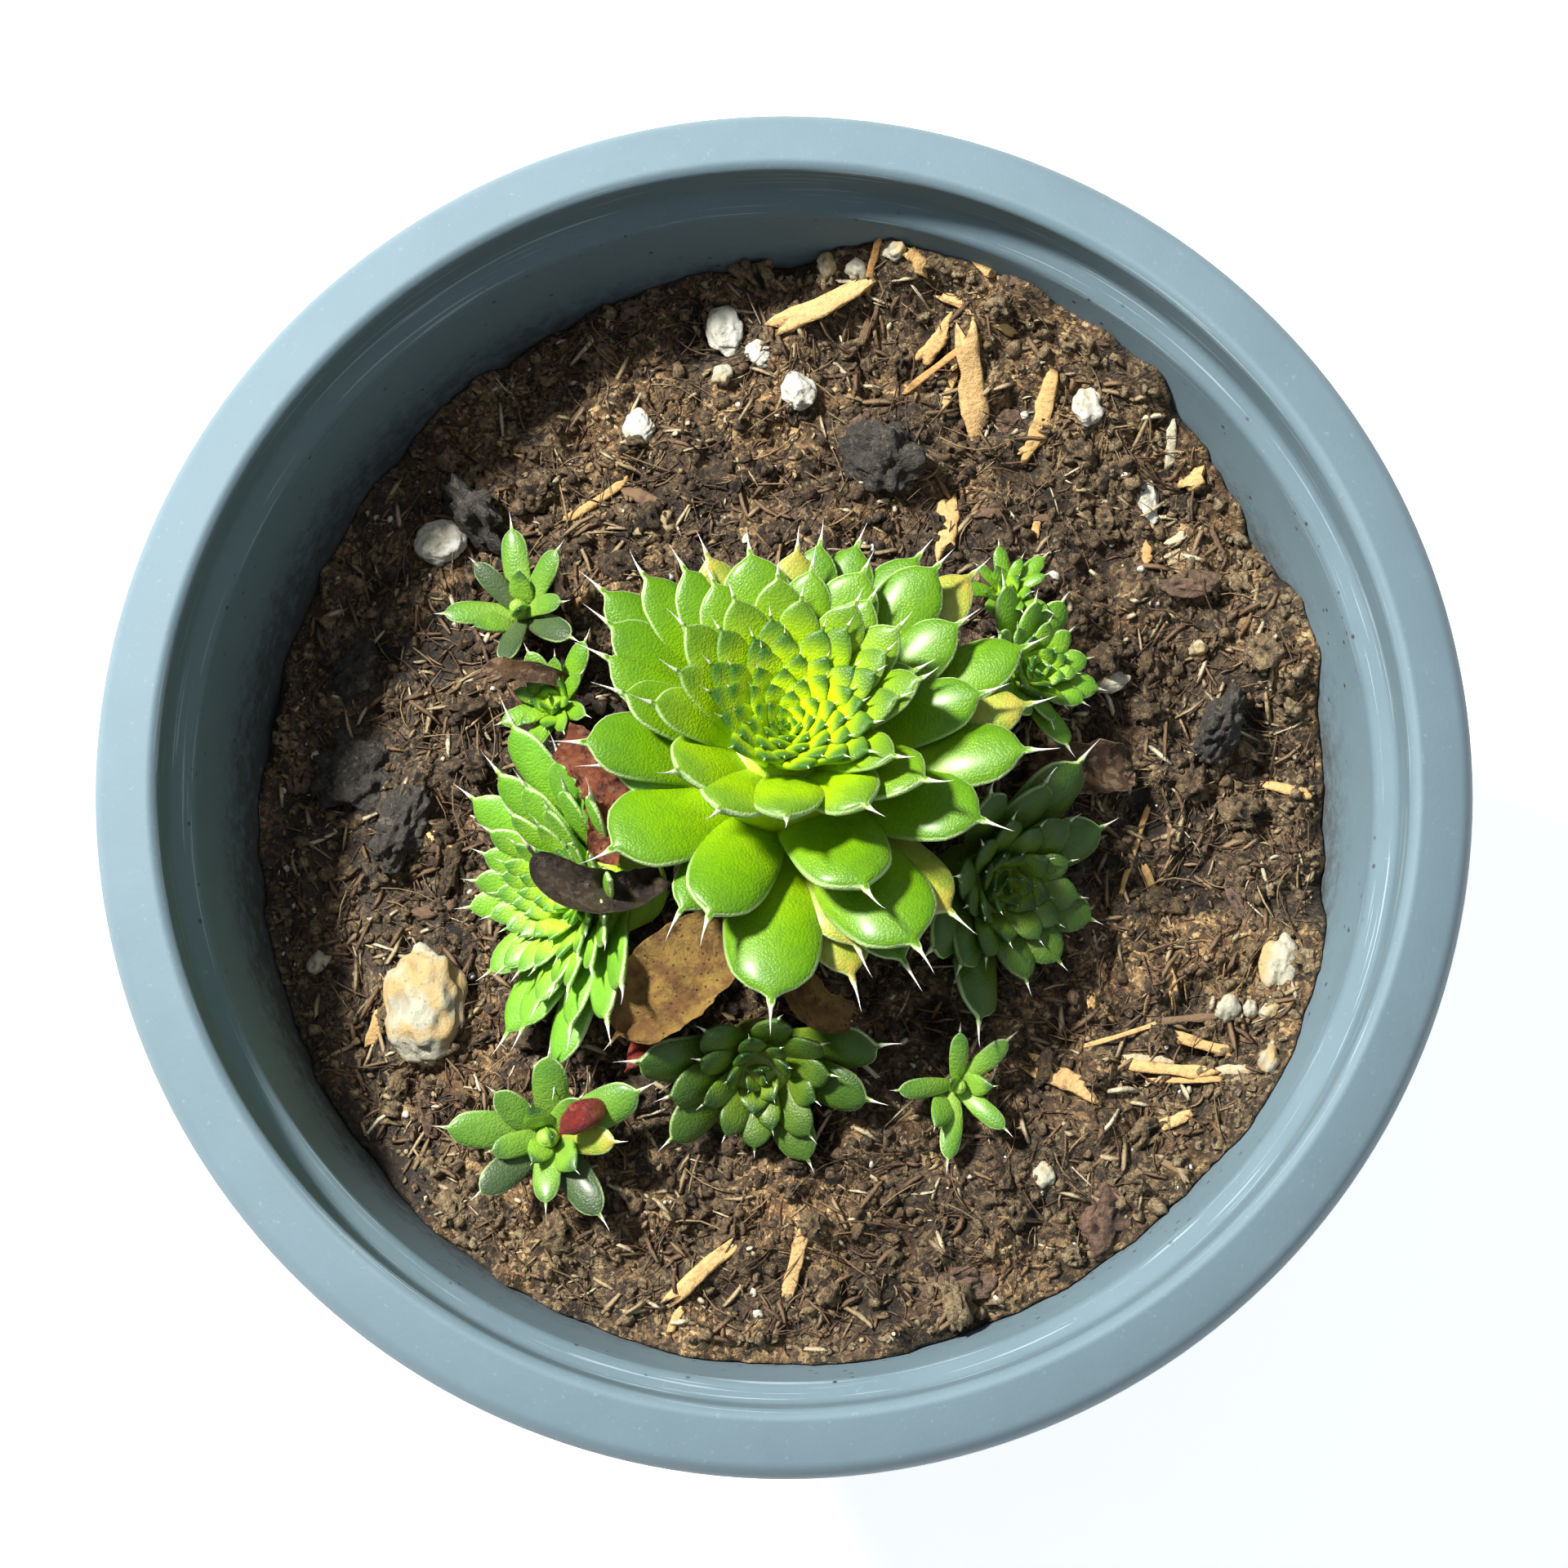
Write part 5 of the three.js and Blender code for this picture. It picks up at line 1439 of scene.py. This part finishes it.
# %% Straw and fibres
def strewn_strips(count, seed, lengths, widths, bow, tilt, thick, rings, sides):
    """Slivers at strewn places, of drawn length, width, turn, bow and tilt."""
    x, y, number = strewn(count, seed)
    length = lengths[0] + (lengths[1] - lengths[0]) * draw(number, seed + 2) ** 2
    half = spread(number, seed + 3, *widths) / 2
    turn = 2 * np.pi * draw(number, seed + 4)
    way = np.stack([np.cos(turn), np.sin(turn)], axis=-1) * length[:, None] / 2
    bend = spread(number, seed + 5, -bow, bow)[:, None]
    start = resting(x - way[:, 0], y - way[:, 1], half)
    end = resting(x + way[:, 0], y + way[:, 1], half)
    end[:, 2] += tilt * length * draw(number, seed + 6) ** 4
    across = np.stack([-way[:, 1], way[:, 0], 0 * turn], axis=-1)
    knee = resting(x, y, half) + across * bend
    knee[:, 2] = np.maximum(knee[:, 2], (start[:, 2] + end[:, 2]) / 2) + half
    limit = wall_line(np.arctan2(y, x)) - 0.6
    end_radius, start_radius = np.hypot(end[:, 0], end[:, 1]), np.hypot(start[:, 0], start[:, 1])
    inside_wall = (end_radius < limit) & (start_radius < limit)
    kept = [part[inside_wall] for part in (start, knee, end, half, half * thick)]
    return sliver_skins(*kept, rings, sides, 0.15, seed)


peat_fibre = wood_finish(
    "peat_fibre", [(0.0, (0.1, 0.06, 0.035)), (0.6, (0.06, 0.036, 0.02)), (1.0, (0.32, 0.23, 0.12))]
)
straw_skins = strewn_strips(
    count=2900, seed=100, lengths=(0.4, 3.2), widths=(0.12, 0.5), bow=0.25, tilt=0.3, thick=0.5,
    rings=3, sides=4,
)
strew("straw_bits", straw_skins, straw)
fibre_skins = strewn_strips(
    count=3600, seed=110, lengths=(0.8, 6), widths=(0.05, 0.18), bow=0.7, tilt=0.35, thick=1.0,
    rings=5, sides=3,
)
strew("peat_fibres", fibre_skins, peat_fibre)


# %% [markdown]
# Peat falls into crumbs, mostly under a millimetre, and clods of 2 to 4. Both are lumps in the
# tones of the ground, so they look like raised parts of it. A crumb has only 3 rings of 5 points,
# because there are thousands of them.


# %% Crumbs and clods
def strewn_lumps(count, seed, sizes, power, rings, sides, rough, fine, squash, places=None):
    """Lumps at strewn places, half sizes drawn between two sizes, most of them small."""
    x, y, number = strewn(count, seed) if places is None else (*places, np.arange(count))
    size = sizes[0] + (sizes[1] - sizes[0]) * draw(number, seed + 2) ** power
    stretch = np.stack([spread(number, seed + 3 + k, 0.7, 1.25) for k in range(3)], axis=-1)
    halves = size[:, None] * stretch * [1, 1, squash]
    centres = resting(x, y, 0.3 * size * squash)
    return lump_skins(centres, halves, any_turns(count, seed + 7), rings, sides, rough, fine, seed)


crumb_finish = Finish("peat_crumbs")
share, knob, _, _ = crumb_finish.values("lump")
fuzz = crumb_finish.noise(0.35, 3, 0.8)
motes = crumb_finish.motes(0.3, crumb_finish.warped(0.8, 0.3))
crumb_color = crumb_finish.ramp(share * 0.5 + motes * 0.26 + fuzz * 0.3, PEAT_TONES)
# painted shade: the crumbs' sunken parts go nearly black
crumb_hollow_shade = 1 - crumb_finish.between(knob, 0.2, 0.55)
crumb_color = crumb_finish.mix(crumb_hollow_shade, crumb_color, (0.01, 0.007, 0.005))
crumb_material = crumb_finish.done(
    Base_Color=crumb_color,
    Roughness=0.9 + fuzz * 0.08,
    Normal=crumb_finish.bump(fuzz + motes * 0.4, 0.6, 1.0),
)
crumb_skins = strewn_lumps(
    count=5200, seed=130, sizes=(0.16, 0.75), power=2.6, rings=3, sides=5, rough=0.6, fine=1.9,
    squash=0.75,
)
strew("crumbs", crumb_skins, crumb_material)
clod_skins = strewn_lumps(
    count=110, seed=140, sizes=(0.8, 1.8), power=1.6, rings=14, sides=20, rough=0.55, fine=2.6,
    squash=0.7,
)
strew("clods", clod_skins, crumb_material)

# %% [markdown]
# Six larger clods of damp peat are nearly black. Four lie at the left, one behind the plant and one
# at the right. They are lumps too, with enough points for their knobs to show.

# %% Dark clods
DARK_CLODS = np.array([[-25.5, 24.0], [-35.5, 11.0], [-35.0, 3.0], [8.0, 27.5], [35.5, 6.5], [-31, -1.5]])
clod_finish = Finish("dark_clods")
fuzz = clod_finish.noise(0.5, 4, 0.75)
motes = clod_finish.motes(0.3, clod_finish.warped(0.8, 0.3))
clod_color = clod_finish.mix(fuzz * 0.6 + motes * 0.6, (0.014, 0.014, 0.013), (0.09, 0.082, 0.07))
clod_color = clod_finish.mix(clod_finish.between(motes, 0.9, 1.0) * 0.5, clod_color, (0.2, 0.18, 0.14))
clod_relief = clod_finish.bump(fuzz + motes * 0.4, 0.6, 1.0)
clod_material = clod_finish.done(
    Base_Color=clod_color, Roughness=0.75 + fuzz * 0.2, Normal=clod_relief
)
dark_skins = strewn_lumps(
    count=len(DARK_CLODS), seed=150, sizes=(2.4, 3.8), power=1.0, rings=44, sides=56, rough=0.34,
    fine=2.6, squash=0.5, places=DARK_CLODS.T,
)
strew("dark_clods", dark_skins, clod_material)

# %% [markdown]
# Perlite crumbles, so small pale pieces lie about the larger grains. The twelve that show best are
# placed one by one, and white specks are strewn over the ground.

# %% Perlite crumbs
PALE_CRUMBS = np.array([
    [3.6, 43.6], [6.1, 43.0], [8.9, 43.5], [-28.8, -20.3], [35.2, -16.9], [37.0, -16.8],
    [38.4, -17.0], [38.1, -21.1], [20.5, -29.9], [33.6, 12.7], [-5.0, 35.0], [-38.0, -12.5],
])
pale_skins = strewn_lumps(
    count=len(PALE_CRUMBS), seed=160, sizes=(0.6, 1.1), power=1.0, rings=14, sides=20, rough=0.3,
    fine=1.8, squash=0.8, places=PALE_CRUMBS.T,
)
strew("pale_crumbs", pale_skins, cream_stone)
speck_skins = strewn_lumps(
    count=170, seed=170, sizes=(0.12, 0.42), power=2.0, rings=6, sides=8, rough=0.3, fine=1.6,
    squash=0.8,
)
strew("white_specks", speck_skins, white_stone)
